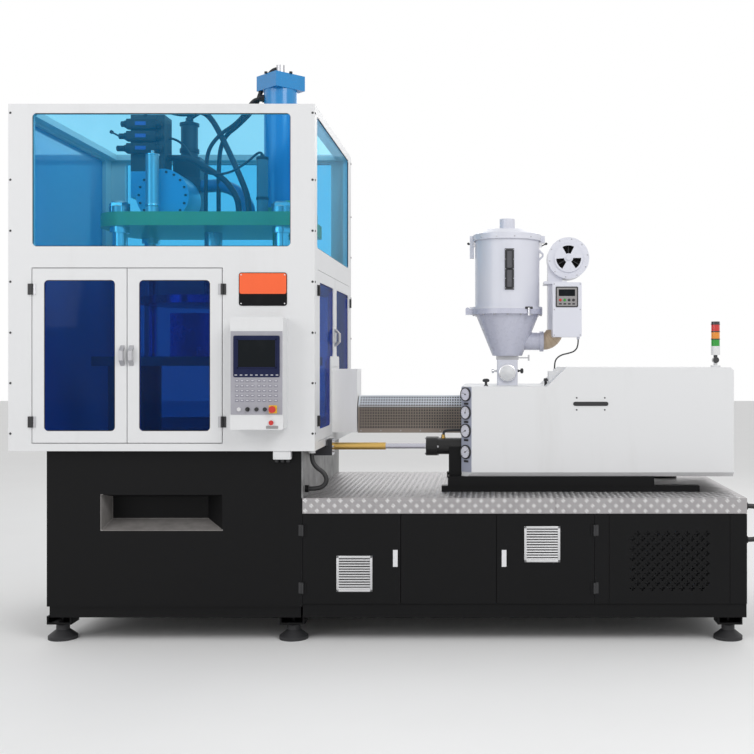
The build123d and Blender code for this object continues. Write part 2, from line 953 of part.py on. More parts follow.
def front_pane_form(door_left, door_right):
    """The tinted pane in a front door's frame."""
    inset = door_frame + face_gap
    prism_y(rectangle(door_left + inset, door_right - inset, door_bottom + inset, door_top - inset),
            pane_recess, pane_recess + pane, Mode.ADD, pane_corner)


left_door_axis = left_door_left - door_gap / 2
right_front_axis = right_front_right + door_gap / 2
with BuildPart() as front_door_left:
    front_door_form(left_door_left, left_door_right, left_door_right - handle_inset - handle_width)
    front_leaf(left_door_axis, 0, 1, door_hinge_heights)
keep(front_door_left, "front_door_left")

with BuildPart() as front_window_left:
    front_pane_form(left_door_left, left_door_right)
keep(front_window_left, "front_window_left")

with BuildPart() as front_door_right:
    front_door_form(right_front_left, right_front_right, right_front_left + handle_inset)
    front_leaf(right_front_axis, 0, -1, door_hinge_heights)
keep(front_door_right, "front_door_right")

with BuildPart() as front_window_right:
    front_pane_form(right_front_left, right_front_right)
keep(front_window_right, "front_window_right")


def side_door_form(outline, handle_front):
    """A notched side door with its pull handle."""
    prism_x(outline, cabinet_length - door_thick, cabinet_length)
    prism_x(inset_door(outline, door_frame), cabinet_length - door_thick - overrun,
            cabinet_length + overrun, Mode.SUBTRACT, window_corner)
    handle_low = side_notch_top + side_handle_rise
    prism_y(handle_outline(cabinet_length, 1, handle_low, handle_length, handle_out, handle_bar),
            handle_front, handle_front + handle_width)


def side_pane_form(outline):
    """The tinted pane in a side door's frame."""
    prism_x(inset_door(outline, door_frame + face_gap), cabinet_length - pane_recess - pane,
            cabinet_length - pane_recess, Mode.ADD, pane_corner)


side_front_axis = side_front_start - door_gap / 2
side_rear_axis = side_rear_end + door_gap / 2
with BuildPart() as side_door_front:
    side_door_form(side_front_outline, side_door_split - door_gap - handle_inset - handle_width)
    side_leaf(side_front_axis, 1, door_hinge_heights)
keep(side_door_front, "side_door_front")

with BuildPart() as side_window_front:
    side_pane_form(side_front_outline)
keep(side_window_front, "side_window_front")

with BuildPart() as side_door_rear:
    side_door_form(side_rear_outline, side_door_split + door_gap + handle_inset)
    side_leaf(side_rear_axis, -1, door_hinge_heights)
keep(side_door_rear, "side_door_rear")

with BuildPart() as side_window_rear:
    side_pane_form(side_rear_outline)
keep(side_window_rear, "side_window_rear")


def hinge_barrel(x, y, z):
    """A hinge barrel that stands on its axis."""
    bar(x, y, z - hinge_length / 2, Z_OUT, hinge_radius - running_gap, hinge_length)


with BuildPart() as door_hinges:
    for axis_x, side in ((left_door_axis, -1), (right_front_axis, 1)):
        for z in door_hinge_heights:
            hinge_barrel(axis_x, -hinge_radius, z)
            edge = axis_x + side * hinge_leaf_width
            block(min(axis_x, edge), max(axis_x, edge), -hinge_leaf, 0, z - hinge_length / 2,
                  z + hinge_length / 2)
    for hinge_y, side in ((side_front_axis, -1), (side_rear_axis, 1)):
        for z in door_hinge_heights:
            hinge_barrel(cabinet_length + hinge_radius, hinge_y, z)
            edge = hinge_y + side * hinge_leaf_width
            block(cabinet_length, cabinet_length + hinge_leaf, min(hinge_y, edge), max(hinge_y, edge),
                  z - hinge_length / 2, z + hinge_length / 2)
    for axis_x, side in ((deck_left_axis, -1), (deck_right_axis, 1)):
        for z in deck_hinge_heights:
            hinge_barrel(axis_x, base_front - hinge_radius, z)
            edge = axis_x + side * hinge_leaf_width
            block(min(axis_x, edge), max(axis_x, edge), base_front - hinge_leaf, base_front,
                  z - hinge_length / 2, z + hinge_length / 2)
keep(door_hinges, "door_hinges")

# Operator box on the cabinet's front
with BuildPart() as operator_box:
    block(panel_left, panel_right, -panel_out, 0, panel_bottom, panel_bottom + panel_height)
    fillet(operator_box.edges().filter_by(Axis.Y), panel_corner)
    block(panel_left + panel_sheet, panel_right - panel_sheet, -panel_out + panel_sheet, overrun,
          panel_bottom + panel_sheet, panel_bottom + panel_height - panel_sheet, Mode.SUBTRACT)
    bar(low_button_x, -panel_out - low_button_ring_out, low_button_z, Y_OUT, low_button_ring,
        low_button_ring_out)
    for x, z, radius in ((estop_x, switch_z, estop_stem_radius),
                         (selector_x, switch_z, selector_shaft_radius),
                         (low_button_x, low_button_z, low_button_radius)):
        bar(x, -panel_out - low_button_ring_out - overrun, z, Y_OUT, radius + running_gap,
            low_button_ring_out + panel_sheet + overrun + overrun, Mode.SUBTRACT)
keep(operator_box, "operator_box")

face_bottom = panel_bottom + panel_face_low
face_top = face_bottom + panel_face_height
with BuildPart() as operator_face:
    block(panel_middle - panel_face_width / 2, panel_middle + panel_face_width / 2, panel_face_front,
          -panel_out, face_bottom, face_top)
    block(estop_x - estop_plate / 2, estop_x + estop_plate / 2, panel_face_front - estop_plate_sheet,
          panel_face_front, switch_z - estop_plate / 2, switch_z + estop_plate / 2)
    bar(panel_right - key_side_margin, panel_face_front - key_out, switch_z, Y_OUT, key_radius, key_out)
    for margin in (button_left_margin, button_right_margin):
        bar(panel_right - margin, panel_face_front - button_out, switch_z, Y_OUT, button_radius, button_out)
    for x, radius in ((estop_x, estop_stem_radius), (selector_x, selector_shaft_radius)):
        bar(x, panel_face_front - estop_plate_sheet - overrun, switch_z, Y_OUT, radius + running_gap,
            panel_face_sheet + estop_plate_sheet + overrun + overrun, Mode.SUBTRACT)
keep(operator_face, "operator_face")

estop_front = -panel_out - estop_out
with BuildPart() as emergency_stop:
    bar(estop_x, estop_front, switch_z, Y_OUT, estop_radius, estop_head)
    bar(estop_x, estop_front + estop_head, switch_z, Y_OUT, estop_stem_radius,
        estop_out - estop_head + panel_sheet + overrun)
keep(emergency_stop, "emergency_stop")

selector_back = panel_face_front - face_gap
with BuildPart() as selector:
    bar(selector_x, selector_back - selector_ring, switch_z, Y_OUT, selector_radius, selector_ring)
    bar(selector_x, selector_back, switch_z, Y_OUT, selector_shaft_radius,
        face_gap + panel_face_sheet + panel_sheet + overrun)
    block(selector_x - selector_grip_width / 2, selector_x + selector_grip_width / 2,
          selector_back - selector_ring - selector_grip, selector_back - selector_ring,
          switch_z - selector_grip, switch_z + selector_grip)
keep(selector, "selector")

with BuildPart() as low_button:
    bar(low_button_x, -panel_out - low_button_out, low_button_z, Y_OUT, low_button_radius,
        low_button_out + panel_sheet + low_button_travel)
keep(low_button, "low_button")

# Press inside the cabinet
with BuildPart() as lower_platen:
    block(press_left, press_right, press_front, press_back, lower_platen_top - lower_platen_sheet,
          lower_platen_top)
    for x, y in tie_places:
        bar(x, y, cabinet_floor, Z_OUT, tie_sleeve_radius,
            lower_platen_top - lower_platen_sheet - cabinet_floor)
    for x, y in tie_places:
        bar(x, y, cabinet_floor - overrun, Z_OUT, tie_radius + running_gap,
            lower_platen_top - cabinet_floor + overrun + overrun, Mode.SUBTRACT)
keep(lower_platen, "lower_platen")

with BuildPart() as tie_bars:
    for x, y in tie_places:
        bar(x, y, cabinet_floor, Z_OUT, tie_radius, upper_platen_top - cabinet_floor)
        bar(x, y, upper_platen_bottom - tie_collar_height, Z_OUT, tie_collar_radius, tie_collar_height)
        with BuildSketch(Plane(origin=at(x, y, upper_platen_top))) as nut:
            RegularPolygon(tie_nut_radius, 6)
        extrude(amount=tie_nut_height)
keep(tie_bars, "tie_bars")

with BuildPart() as upper_platen:
    block(press_left, press_right, press_front, press_back, upper_platen_bottom, upper_platen_top)
    fillet(upper_platen.edges().filter_by(Axis.Z).sort_by(Axis.X)[:2], platen_left_corner)
    fillet(upper_platen.edges().filter_by(Axis.Z).sort_by(Axis.X)[-2:], platen_corner)
    block(press_right - platen_step_length, press_right, axis_y - platen_step_width / 2,
          axis_y + platen_step_width / 2, upper_platen_top, clamp_foot)
    for x, y in tie_places:
        bar(x, y, upper_platen_bottom - overrun, Z_OUT, tie_radius + running_gap,
            upper_platen_sheet + overrun + overrun, Mode.SUBTRACT)
    bar(clamp_x, axis_y, upper_platen_bottom - overrun, Z_OUT, clamp_rod_radius + running_gap,
        upper_platen_sheet + platen_step + overrun + overrun, Mode.SUBTRACT)
keep(upper_platen, "upper_platen")

core_platen_top = core_platen_bottom + core_platen_sheet
with BuildPart() as core_platen:
    block(press_left, press_right, press_front, press_back, core_platen_bottom, core_platen_top)
    bar(clamp_x, axis_y, core_platen_top, Z_OUT, clamp_rod_radius,
        clamp_foot + clamp_rod_reach - core_platen_top)
    for x, y in tie_places:
        bar(x, y, core_platen_bottom - overrun, Z_OUT, tie_radius + running_gap,
            core_platen_sheet + overrun + overrun, Mode.SUBTRACT)
    bar(press_middle, axis_y, core_platen_bottom - overrun, Z_OUT, rotary_shaft_radius + running_gap,
        core_platen_sheet + overrun + overrun, Mode.SUBTRACT)
keep(core_platen, "core_platen")

with BuildPart() as rotary_plate:
    bar(press_middle, axis_y, rotary_bottom, Z_OUT, rotary_radius, rotary_sheet)
    bar(press_middle, axis_y, rotary_bottom + rotary_sheet, Z_OUT, rotary_shaft_radius,
        upper_platen_bottom - face_gap - rotary_bottom - rotary_sheet)
keep(rotary_plate, "rotary_plate")


def mould_form(inner, outer):
    """One half of the blow mould, with its half of the bottle cavity."""
    low = lower_platen_top + face_gap
    block(min(inner, outer), max(inner, outer), axis_y - mould_width / 2, axis_y + mould_width / 2, low,
          low + mould_height)
    bar(press_middle, axis_y, low + mould_floor, Z_OUT, mould_cavity_radius,
        mould_height - mould_floor - mould_neck_height, Mode.SUBTRACT)
    bar(press_middle, axis_y, low + mould_floor, Z_OUT, mould_neck_radius, mould_height, Mode.SUBTRACT)


with BuildPart() as mould_left:
    mould_form(press_middle - face_gap / 2, press_middle - mould_length)
keep(mould_left, "mould_left")

with BuildPart() as mould_right:
    mould_form(press_middle + face_gap / 2, press_middle + mould_length)
keep(mould_right, "mould_right")

with BuildPart() as clamp_cylinder:
    bar(clamp_x, axis_y, clamp_foot, Z_OUT, clamp_radius, clamp_top - clamp_foot)
    bar(clamp_x, axis_y, clamp_foot - overrun, Z_OUT, clamp_bore,
        clamp_rod_reach + core_platen_stroke + clamp_bore_spare + overrun, Mode.SUBTRACT)
    with BuildSketch(Plane(origin=at(clamp_x, axis_y, clamp_top))) as flange:
        Rectangle(clamp_flange, clamp_flange, rotation=45)
    extrude(amount=clamp_flange_height)
    bar(clamp_x, axis_y, clamp_top + clamp_flange_height, Z_OUT, clamp_fitting_radius, clamp_fitting_height)
keep(clamp_cylinder, "clamp_cylinder")

drum_valve_x = press_left + drum_valve_offset
drum_valve_front = press_front + drum_valve_inset
drum_valve_z = upper_platen_top + drum_valve_lift
manifold_left = press_left + manifold_offset
manifold_front = press_front + manifold_inset
pump_left = press_left + pump_offset
pump_front = press_front + pump_inset
pump_top = upper_platen_top + pump_height
with BuildPart() as hydraulics:
    bar(drum_valve_x, drum_valve_front, drum_valve_z, Y_OUT, drum_valve_radius, drum_valve_length)
    block(drum_valve_x - drum_valve_radius, drum_valve_x + drum_valve_radius, drum_valve_front - overrun,
          drum_valve_front + drum_valve_length + overrun, drum_valve_z - drum_valve_radius - overrun,
          upper_platen_top, Mode.SUBTRACT)
    block(manifold_left, manifold_left + manifold_length, manifold_front, manifold_front + manifold_width,
          drum_valve_z, upper_platen_top + manifold_height)
    bar(press_left + filter_offset, press_front + filter_inset, upper_platen_top, Z_OUT, filter_radius,
        filter_height)
    block(pump_left, pump_left + pump_length, pump_front, pump_front + pump_width, upper_platen_top, pump_top)
    bar(pump_left + pump_length / 2, pump_front + pump_width / 2, pump_top, Z_OUT, accumulator_radius,
        accumulator_height)
    bar(press_right - thin_cylinder_offset, axis_y - thin_cylinder_forward, upper_platen_top, Z_OUT,
        thin_cylinder_radius, thin_cylinder_height)
keep(hydraulics, "hydraulics")

# Injection carriage on its rails
sled_front = cover_front + sled_inset
sled_back = cover_back - sled_inset
with BuildPart() as slide_rails:
    for rail_front in (sled_front + rail_inset, sled_back - rail_inset - rail_width):
        block(sled_left - rail_lead, sled_left - rail_lead + rail_length, rail_front, rail_front + rail_width,
              deck_height, rail_top)
keep(slide_rails, "slide_rails")

with BuildPart() as sled:
    block(sled_left, sled_left + sled_length, sled_front, sled_back, sled_bottom, cover_bottom)
    block(sled_left + pedestal_inset, sled_left + pedestal_inset + pedestal_length,
          cylinder_y - pedestal_width / 2, cylinder_y + pedestal_width / 2, cover_bottom, cylinder_height)
    bar(sled_left, cylinder_y, cylinder_height, X_OUT, cylinder_radius + running_gap,
        pedestal_inset + pedestal_length + overrun, Mode.SUBTRACT)
keep(sled, "sled")

cover_slope_left = cover_left + cover_slope_start
cover_slope_right = cover_slope_left + cover_slope_run
cover_outline = [
    (cover_left, cover_bottom), (cover_right, cover_bottom), (cover_right, cover_top - cover_end_cut),
    (cover_right - cover_end_cut, cover_top), (cover_slope_right, cover_top),
    (cover_slope_left, cover_low_top), (cover_left, cover_low_top),
]
slope_box_left = cover_slope_left + slope_box_offset
slope_box_front = cover_front + slope_box_setback
with BuildPart() as injection_cover:
    prism_y(cover_outline, cover_front, cover_back)
    chamfer(injection_cover.edges().filter_by(Axis.Z).group_by(Axis.X)[0].sort_by(Axis.Y)[0], cover_strip)
    chamfer(injection_cover.edges().filter_by(Axis.X).group_by(Axis.Z)[0].sort_by(Axis.Y)[0],
            cover_foot_bevel)
    offset(amount=-cover_sheet, openings=injection_cover.faces().sort_by(Axis.Z)[0])
    block(slope_box_left, slope_box_left + slope_box_length, slope_box_front,
          slope_box_front + slope_box_width, cover_low_top, slope_box_top)
    bar(slope_box_left + slope_box_length / 2, slope_box_front + slope_box_width / 2, slope_box_top, Z_OUT,
        gland_radius, gland_height)
    bar(tower_x, tower_y, cover_top, Z_OUT, tower_foot_radius, tower_foot_height)
    bar(tower_x, tower_y, cover_top, Z_OUT, tower_pole_radius,
        tower_knuckle_height - tower_knuckle_radius - running_gap)
    bar(hopper_x, axis_y, cover_low_top - cover_sheet - overrun, Z_OUT, throat_bore,
        cover_sheet + overrun + overrun, Mode.SUBTRACT)
    for y, z, radius in ((axis_y, barrel_height, barrel_radius),
                         (cylinder_y, cylinder_height, cylinder_radius)):
        bar(cover_left - overrun, y, z, X_OUT, radius + running_gap, cover_sheet + overrun + overrun,
            Mode.SUBTRACT)
keep(injection_cover, "injection_cover")

strip_top = cover_low_top - gauge_strip_top_margin
strip_bottom = cover_bottom + cover_foot_bevel
strip_plane = Plane(origin=at(cover_left + cover_strip / 2, cover_front + cover_strip / 2,
                              (strip_top + strip_bottom) / 2),
                    x_dir=(1, -1, 0), z_dir=(-1, -1, 0))
with BuildPart() as gauge_panel:
    with BuildSketch(strip_plane):
        Rectangle(cover_strip * gauge_plate_share, strip_top - strip_bottom)
    extrude(amount=gauge_sheet)
    with BuildSketch(strip_plane.offset(gauge_sheet)):
        for share in gauge_shares:
            with Locations((0, (strip_top - strip_bottom) * (share - 1 / 2))):
                Circle(gauge_radius)
    extrude(amount=gauge_out)
keep(gauge_panel, "gauge_panel")

block_left = cover_left + cover_sheet + block_gap
barrel_left = block_left - barrel_length
with BuildPart() as barrel:
    bar(barrel_left, axis_y, barrel_height, X_OUT, barrel_radius, barrel_length)
    bar(barrel_left - nozzle_length, axis_y, barrel_height, X_OUT, nozzle_radius, nozzle_length)
    for band in range(heater_count):
        bar(barrel_left + heater_start + band * heater_pitch, axis_y, barrel_height, X_OUT, heater_radius,
            heater_length)
    bar(barrel_left - nozzle_length - overrun, axis_y, barrel_height, X_OUT, nozzle_bore,
        nozzle_length + barrel_length, Mode.SUBTRACT)
    bar(barrel_left + screw_lead, axis_y, barrel_height, X_OUT, barrel_bore, barrel_length, Mode.SUBTRACT)
keep(barrel, "barrel")

screw_radius = barrel_bore - running_gap
screw_right = block_left + block_length - face_gap
with BuildPart() as screw:
    bar(barrel_left + screw_lead + screw_tip, axis_y, barrel_height, X_OUT, screw_radius,
        screw_right - barrel_left - screw_lead - screw_tip)
    tip_place = at(barrel_left + screw_lead + screw_tip, axis_y, barrel_height)
    with Locations(Plane(origin=tip_place, z_dir=-X_OUT)):
        Cone(screw_radius, nozzle_bore, screw_tip - overrun,
             align=(Align.CENTER, Align.CENTER, Align.MIN))
keep(screw, "screw")

block_right = block_left + block_length
with BuildPart() as injection_drive:
    block(block_left, block_right, axis_y - block_width / 2, axis_y + block_width / 2, cover_bottom,
          barrel_height + block_rise)
    bar(block_left - overrun, axis_y, barrel_height, X_OUT, barrel_bore, block_length + overrun,
        Mode.SUBTRACT)
    bar(block_right, axis_y, barrel_height, X_OUT, drive_radius, drive_length)
    block(block_right + drive_length - drive_foot_length, block_right + drive_length,
          axis_y - drive_foot_width / 2, axis_y + drive_foot_width / 2, cover_bottom, barrel_height)
keep(injection_drive, "injection_drive")


def guard_outline(inset):
    """The barrel guard's section with its slanted shoulders, moved in by a sheet thickness."""
    knee = inset * tan(radians(guard_knee_angle / 2))
    half = guard_half_width - inset
    foot = guard_bottom - (overrun if inset else 0)
    shoulder = guard_shoulder - knee
    top_half = guard_half_width - (guard_top - guard_shoulder) - knee
    top = guard_top - inset
    return [
        (axis_y - half, foot), (axis_y - half, shoulder), (axis_y - top_half, top),
        (axis_y + top_half, top), (axis_y + half, shoulder), (axis_y + half, foot),
    ]


guard_left = cover_left - guard_length
with BuildPart() as barrel_guard:
    prism_x(guard_outline(0), guard_left, cover_left)
    prism_x(guard_outline(guard_sheet), guard_left - overrun, cover_left + overrun, Mode.SUBTRACT)
    guard_plane = Plane(origin=at((guard_left + cover_left) / 2, axis_y - guard_half_width - overrun,
                                  (guard_bottom + guard_shoulder) / 2), x_dir=X_OUT, z_dir=-Y_OUT)
    with BuildSketch(guard_plane):
        with GridLocations(guard_hole_pitch, guard_hole_pitch, guard_columns, guard_rows):
            Rectangle(guard_hole, guard_hole)
    extrude(amount=-(guard_half_width + guard_half_width + overrun + overrun), mode=Mode.SUBTRACT)
keep(barrel_guard, "barrel_guard")

purge_right = cabinet_length + purge_length
with BuildPart() as purge_guard:
    block(cabinet_length, purge_right, axis_y - purge_half_width, axis_y + purge_half_width, purge_bottom,
          purge_top)
    block(cabinet_length - overrun, purge_right - purge_sheet, axis_y - purge_half_width + purge_sheet,
          axis_y + purge_half_width - purge_sheet, purge_bottom - overrun, purge_top - purge_sheet,
          Mode.SUBTRACT)
    bar(purge_right - purge_sheet - overrun, axis_y, barrel_height, X_OUT, nozzle_hole,
        purge_sheet + overrun + overrun, Mode.SUBTRACT)
keep(purge_guard, "purge_guard")

anchor_left = cabinet_length + anchor_clear
anchor_right = anchor_left + anchor_plate
arm_top = cabinet_floor - anchor_clear
rod_left = anchor_right + sleeve_length
with BuildPart() as carriage_rod:
    block(base_right, anchor_right, cylinder_y - anchor_width / 2, cylinder_y + anchor_width / 2,
          arm_top - anchor_arm_height, arm_top)
    block(anchor_left, anchor_right, cylinder_y - anchor_width / 2, cylinder_y + anchor_width / 2, arm_top,
          cylinder_height + anchor_top)
    bar(anchor_right, cylinder_y, cylinder_height, X_OUT, sleeve_radius, sleeve_length)
    bar(rod_left, cylinder_y, cylinder_height, X_OUT, rod_radius, rod_length)
keep(carriage_rod, "carriage_rod")

body_left = cylinder_left + cylinder_flange_length
with BuildPart() as carriage_cylinder:
    bar(cylinder_left, cylinder_y, cylinder_height, X_OUT, cylinder_flange_radius, cylinder_flange_length)
    bar(body_left, cylinder_y, cylinder_height, X_OUT, cylinder_radius, cylinder_length)
    bar(body_left, cylinder_y, cylinder_height, X_OUT, cylinder_bore, cylinder_length - cylinder_bore / 2,
        Mode.SUBTRACT)
    bar(cylinder_left - overrun, cylinder_y, cylinder_height, X_OUT, rod_radius + running_gap,
        cylinder_flange_length + overrun + overrun, Mode.SUBTRACT)
keep(carriage_cylinder, "carriage_cylinder")

# Hopper dryer over the feed throat
hinge_x = hopper_x - cone_flange_radius - drum_hinge_out
gate_z = (throat_top + cone_bottom) / 2
gate_half = gate_sheet / 2
with BuildPart() as feed_throat:
    block(hopper_x - throat_length / 2, hopper_x + throat_length / 2, axis_y - throat_half_width,
          axis_y + throat_half_width, cover_low_top, throat_top)
    fillet(feed_throat.edges().filter_by(Axis.Z), throat_corner)
    bar(hopper_x, axis_y - throat_half_width - throat_cover_out, cover_low_top + throat_cover_height, Y_OUT,
        throat_cover_radius, throat_cover_out)
    block(hopper_x - gate_frame_length / 2, hopper_x + gate_frame_length / 2, axis_y - throat_half_width,
          axis_y + throat_half_width, throat_top, cone_bottom)
    bar(hopper_x, axis_y, cover_low_top - overrun, Z_OUT, throat_bore,
        cone_bottom - cover_low_top + overrun + overrun, Mode.SUBTRACT)
    block(hopper_x - gate_frame_length / 2 - overrun, hopper_x + gate_frame_length / 2 + overrun,
          axis_y - gate_width / 2 - running_gap, axis_y + gate_width / 2 + running_gap,
          gate_z - gate_half - running_gap, gate_z + gate_half + running_gap, Mode.SUBTRACT)
keep(feed_throat, "feed_throat")

inner_top = cone_top_radius - cone_sheet
cone_floor = cone_bottom + cone_sheet
with BuildPart() as hopper_base:
    bar(hopper_x, axis_y, air_pipe_height, X_OUT, air_pipe_radius, air_pipe_end)
    bar(hopper_x + air_pipe_end - air_flange_length, axis_y, air_pipe_height, X_OUT, air_flange_radius,
        air_flange_length)
    lathe(hopper_x, axis_y, [
        (0, cone_bottom), (cone_bottom_radius, cone_bottom), (cone_top_radius, cone_top),
        (cone_flange_radius, cone_top), (cone_flange_radius, drum_bottom), (0, drum_bottom),
    ])
    bar(hinge_x, axis_y - drum_hinge_width / 2, drum_bottom, Y_OUT, drum_hinge_radius, drum_hinge_width)
    block(hinge_x - drum_hinge_radius, hopper_x - cone_top_radius, axis_y - drum_hinge_width / 2,
          axis_y + drum_hinge_width / 2, drum_bottom - drum_hinge_drop, drum_bottom - face_gap)
    lathe(hopper_x, axis_y, [
        (0, cone_floor), (cone_bottom_radius - cone_sheet, cone_floor), (inner_top, cone_top),
        (inner_top, drum_bottom + overrun), (0, drum_bottom + overrun),
    ], Mode.SUBTRACT)
    bar(hopper_x, axis_y, air_pipe_height, X_OUT, air_pipe_bore, air_pipe_end + overrun, Mode.SUBTRACT)
    bar(hopper_x, axis_y, cone_bottom - overrun, Z_OUT, throat_bore, cone_sheet + overrun + overrun,
        Mode.SUBTRACT)
keep(hopper_base, "hopper_base")

gate_left = hopper_x - gate_lead
with BuildPart() as slide_gate:
    block(gate_left, gate_left + gate_length, axis_y - gate_width / 2, axis_y + gate_width / 2,
          gate_z - gate_half, gate_z + gate_half)
    block(gate_left + gate_length, gate_left + gate_length + gate_tab, axis_y - gate_width / 2,
          axis_y + gate_width / 2, gate_z - gate_tab_height / 2, gate_z + gate_tab_height / 2)
keep(slide_gate, "slide_gate")

drum_seat = drum_bottom + face_gap
sight_x = hopper_x + sight_offset
with BuildPart() as hopper_drum:
    lathe(hopper_x, axis_y, [
        (drum_radius - drum_sheet, drum_seat), (cone_flange_radius, drum_seat),
        (cone_flange_radius, drum_seat + drum_flange_height), (drum_radius, drum_seat + drum_flange_height),
        (drum_radius, drum_top), (drum_radius - drum_sheet, drum_top),
    ])
    block(hinge_x + drum_hinge_radius + running_gap, hopper_x - drum_radius,
          axis_y - drum_hinge_width / 2, axis_y + drum_hinge_width / 2, drum_seat,
          drum_seat + drum_flange_height)
    block(sight_x - sight_width / 2, sight_x + sight_width / 2, axis_y - drum_radius - sight_out,
          axis_y - drum_radius + drum_sheet * sight_seat_share, drum_bottom + sight_low,
          drum_bottom + sight_low + sight_height)
    prism_y(handle_outline(hopper_x + drum_radius - drum_sheet * sight_seat_share, 1,
                           drum_bottom + drum_handle_low, drum_handle_height, drum_handle_out,
                           drum_handle_bar),
            axis_y - drum_handle_width / 2, axis_y + drum_handle_width / 2)
keep(hopper_drum, "hopper_drum")

lid_seat_z = drum_top + face_gap
lid_top = lid_seat_z + lid_height
outlet_top = lid_top + outlet_height
with BuildPart() as hopper_lid:
    lathe(hopper_x, axis_y, [
        (drum_radius - lid_seat, lid_seat_z), (lid_radius, lid_seat_z), (lid_radius, lid_seat_z + lid_rim),
        (lid_shoulder, lid_top), (outlet_radius, lid_top), (outlet_radius, outlet_top),
        (outlet_radius - outlet_sheet, outlet_top), (outlet_radius - outlet_sheet, lid_top - lid_sheet),
        (lid_shoulder - lid_sheet, lid_top - lid_sheet),
        (lid_radius - lid_sheet, lid_seat_z + lid_rim - lid_sheet),
        (lid_radius - lid_sheet, lid_seat_z + lid_sheet), (drum_radius - lid_seat, lid_seat_z + lid_sheet),
    ])
    for side, drop in ((-1, latch_drop), (1, latch_short_drop)):
        inner = hopper_x + side * (lid_radius - latch_seat)
        outer = hopper_x + side * (lid_radius + latch_length)
        block(min(inner, outer), max(inner, outer), axis_y - latch_width / 2, axis_y + latch_width / 2,
              lid_seat_z - drop, lid_seat_z + latch_rise)
keep(hopper_lid, "hopper_lid")

with BuildPart() as hot_air_elbow:
    elbow_start = at(hopper_x + air_pipe_end, axis_y, air_pipe_height)
    elbow_plane = Plane(origin=elbow_start, x_dir=X_OUT, z_dir=-Y_OUT)
    with BuildLine(elbow_plane) as bend:
        JernArc((0, 0), (1, 0), elbow_turn, 90)
    with BuildSketch(Plane(origin=bend.line @ 0, z_dir=bend.line % 0)):
        Circle(elbow_radius)
        Circle(elbow_bore, mode=Mode.SUBTRACT)
    sweep(path=bend.line)
keep(hot_air_elbow, "hot_air_elbow")

box_right = box_left + box_length
with BuildPart() as dryer_box:
    block(box_left, box_right, box_front, box_back, box_bottom, box_top)
    fillet(dryer_box.edges().filter_by(Axis.Y), box_corner)
    block(box_left + box_sheet, box_right - box_sheet, box_front + box_sheet, box_back + overrun,
          box_bottom + box_sheet, box_top - box_sheet, Mode.SUBTRACT)
    bar(box_right - box_gland_inset, box_front + box_gland_setback, box_bottom - gland_height, Z_OUT,
        gland_radius, gland_height)
keep(dryer_box, "dryer_box")


def wedge_openings(plane, depth):
    """Three wedge openings round a fan's axis, cut along the plane's normal."""
    for opening in range(damper_openings):
        start = opening * 360 / damper_openings
        with BuildSketch(plane) as wedge:
            with BuildLine():
                outer = CenterArc((0, 0), damper_outer_radius, start, damper_opening_angle)
                inner = CenterArc((0, 0), damper_inner_radius, start, damper_opening_angle)
                Line(outer @ 0, inner @ 0)
                Line(outer @ 1, inner @ 1)
            make_face()
        extrude(wedge.sketch, amount=depth, mode=Mode.SUBTRACT)


def fan_plane(y):
    """A plane across the fan's axis, looking along +Y."""
    return Plane(origin=at(fan_x, y, fan_z), x_dir=X_OUT, z_dir=Y_OUT)


duct_half = fan_outlet_length / 2
with BuildPart() as blower_housing:
    bar(fan_x, fan_front, fan_z, Y_OUT, fan_radius, fan_width)
    block(duct_x - duct_half, duct_x + duct_half, box_back, axis_y + fan_outlet_width / 2, duct_bottom, fan_z)
    block(duct_x - duct_half - fan_flange_margin, duct_x + duct_half + fan_flange_margin,
          box_back - fan_flange_margin, axis_y + fan_outlet_width / 2 + fan_flange_margin, box_top,
          box_top + fan_flange_height)
    bar(fan_x, fan_back, fan_z, Y_OUT, fan_motor_radius, fan_motor_length)
    bar(fan_x, fan_front + fan_sheet, fan_z, Y_OUT, fan_radius - fan_sheet, fan_width - 2 * fan_sheet,
        Mode.SUBTRACT)
    block(duct_x - duct_half + fan_sheet, duct_x + duct_half - fan_sheet, box_back + fan_sheet,
          axis_y + fan_outlet_width / 2 - fan_sheet, duct_bottom - overrun, fan_z, Mode.SUBTRACT)
    bar(fan_x, fan_back - fan_sheet - overrun, fan_z, Y_OUT, impeller_shaft_radius + running_gap,
        fan_sheet + overrun + fan_motor_socket, Mode.SUBTRACT)
    bar(fan_x, fan_front - overrun, fan_z, Y_OUT, damper_pin_radius + running_gap,
        fan_sheet + overrun + overrun, Mode.SUBTRACT)
    wedge_openings(fan_plane(fan_front - overrun), fan_sheet + overrun + overrun)
keep(blower_housing, "blower_housing")

damper_front = fan_front - face_gap - damper_sheet
with BuildPart() as blower_damper:
    bar(fan_x, damper_front, fan_z, Y_OUT, damper_radius, damper_sheet)
    wedge_openings(fan_plane(damper_front - overrun), damper_sheet + overrun + overrun)
    bar(fan_x, damper_front - damper_hub_out, fan_z, Y_OUT, damper_hub_radius, damper_hub_out)
    bar(fan_x, damper_front, fan_z, Y_OUT, damper_pin_radius, damper_sheet + face_gap + fan_sheet)
keep(blower_damper, "blower_damper")

impeller_front = fan_front + fan_sheet + impeller_clear
impeller_back = impeller_front + impeller_width
with BuildPart() as impeller:
    bar(fan_x, impeller_front, fan_z, Y_OUT, impeller_hub_radius, impeller_width)
    bar(fan_x, impeller_back - impeller_plate, fan_z, Y_OUT, impeller_radius, impeller_plate)
    blade_root = impeller_hub_radius - impeller_blade
    blade_tip = impeller_radius - impeller_blade
    with BuildSketch(fan_plane(impeller_front)):
        with PolarLocations((blade_root + blade_tip) / 2, impeller_blades):
            Rectangle(blade_tip - blade_root, impeller_blade)
    extrude(amount=impeller_width - impeller_plate / 2)
    bar(fan_x, impeller_back, fan_z, Y_OUT, impeller_shaft_radius,
        fan_back + fan_motor_socket - face_gap - impeller_back)
keep(impeller, "impeller")

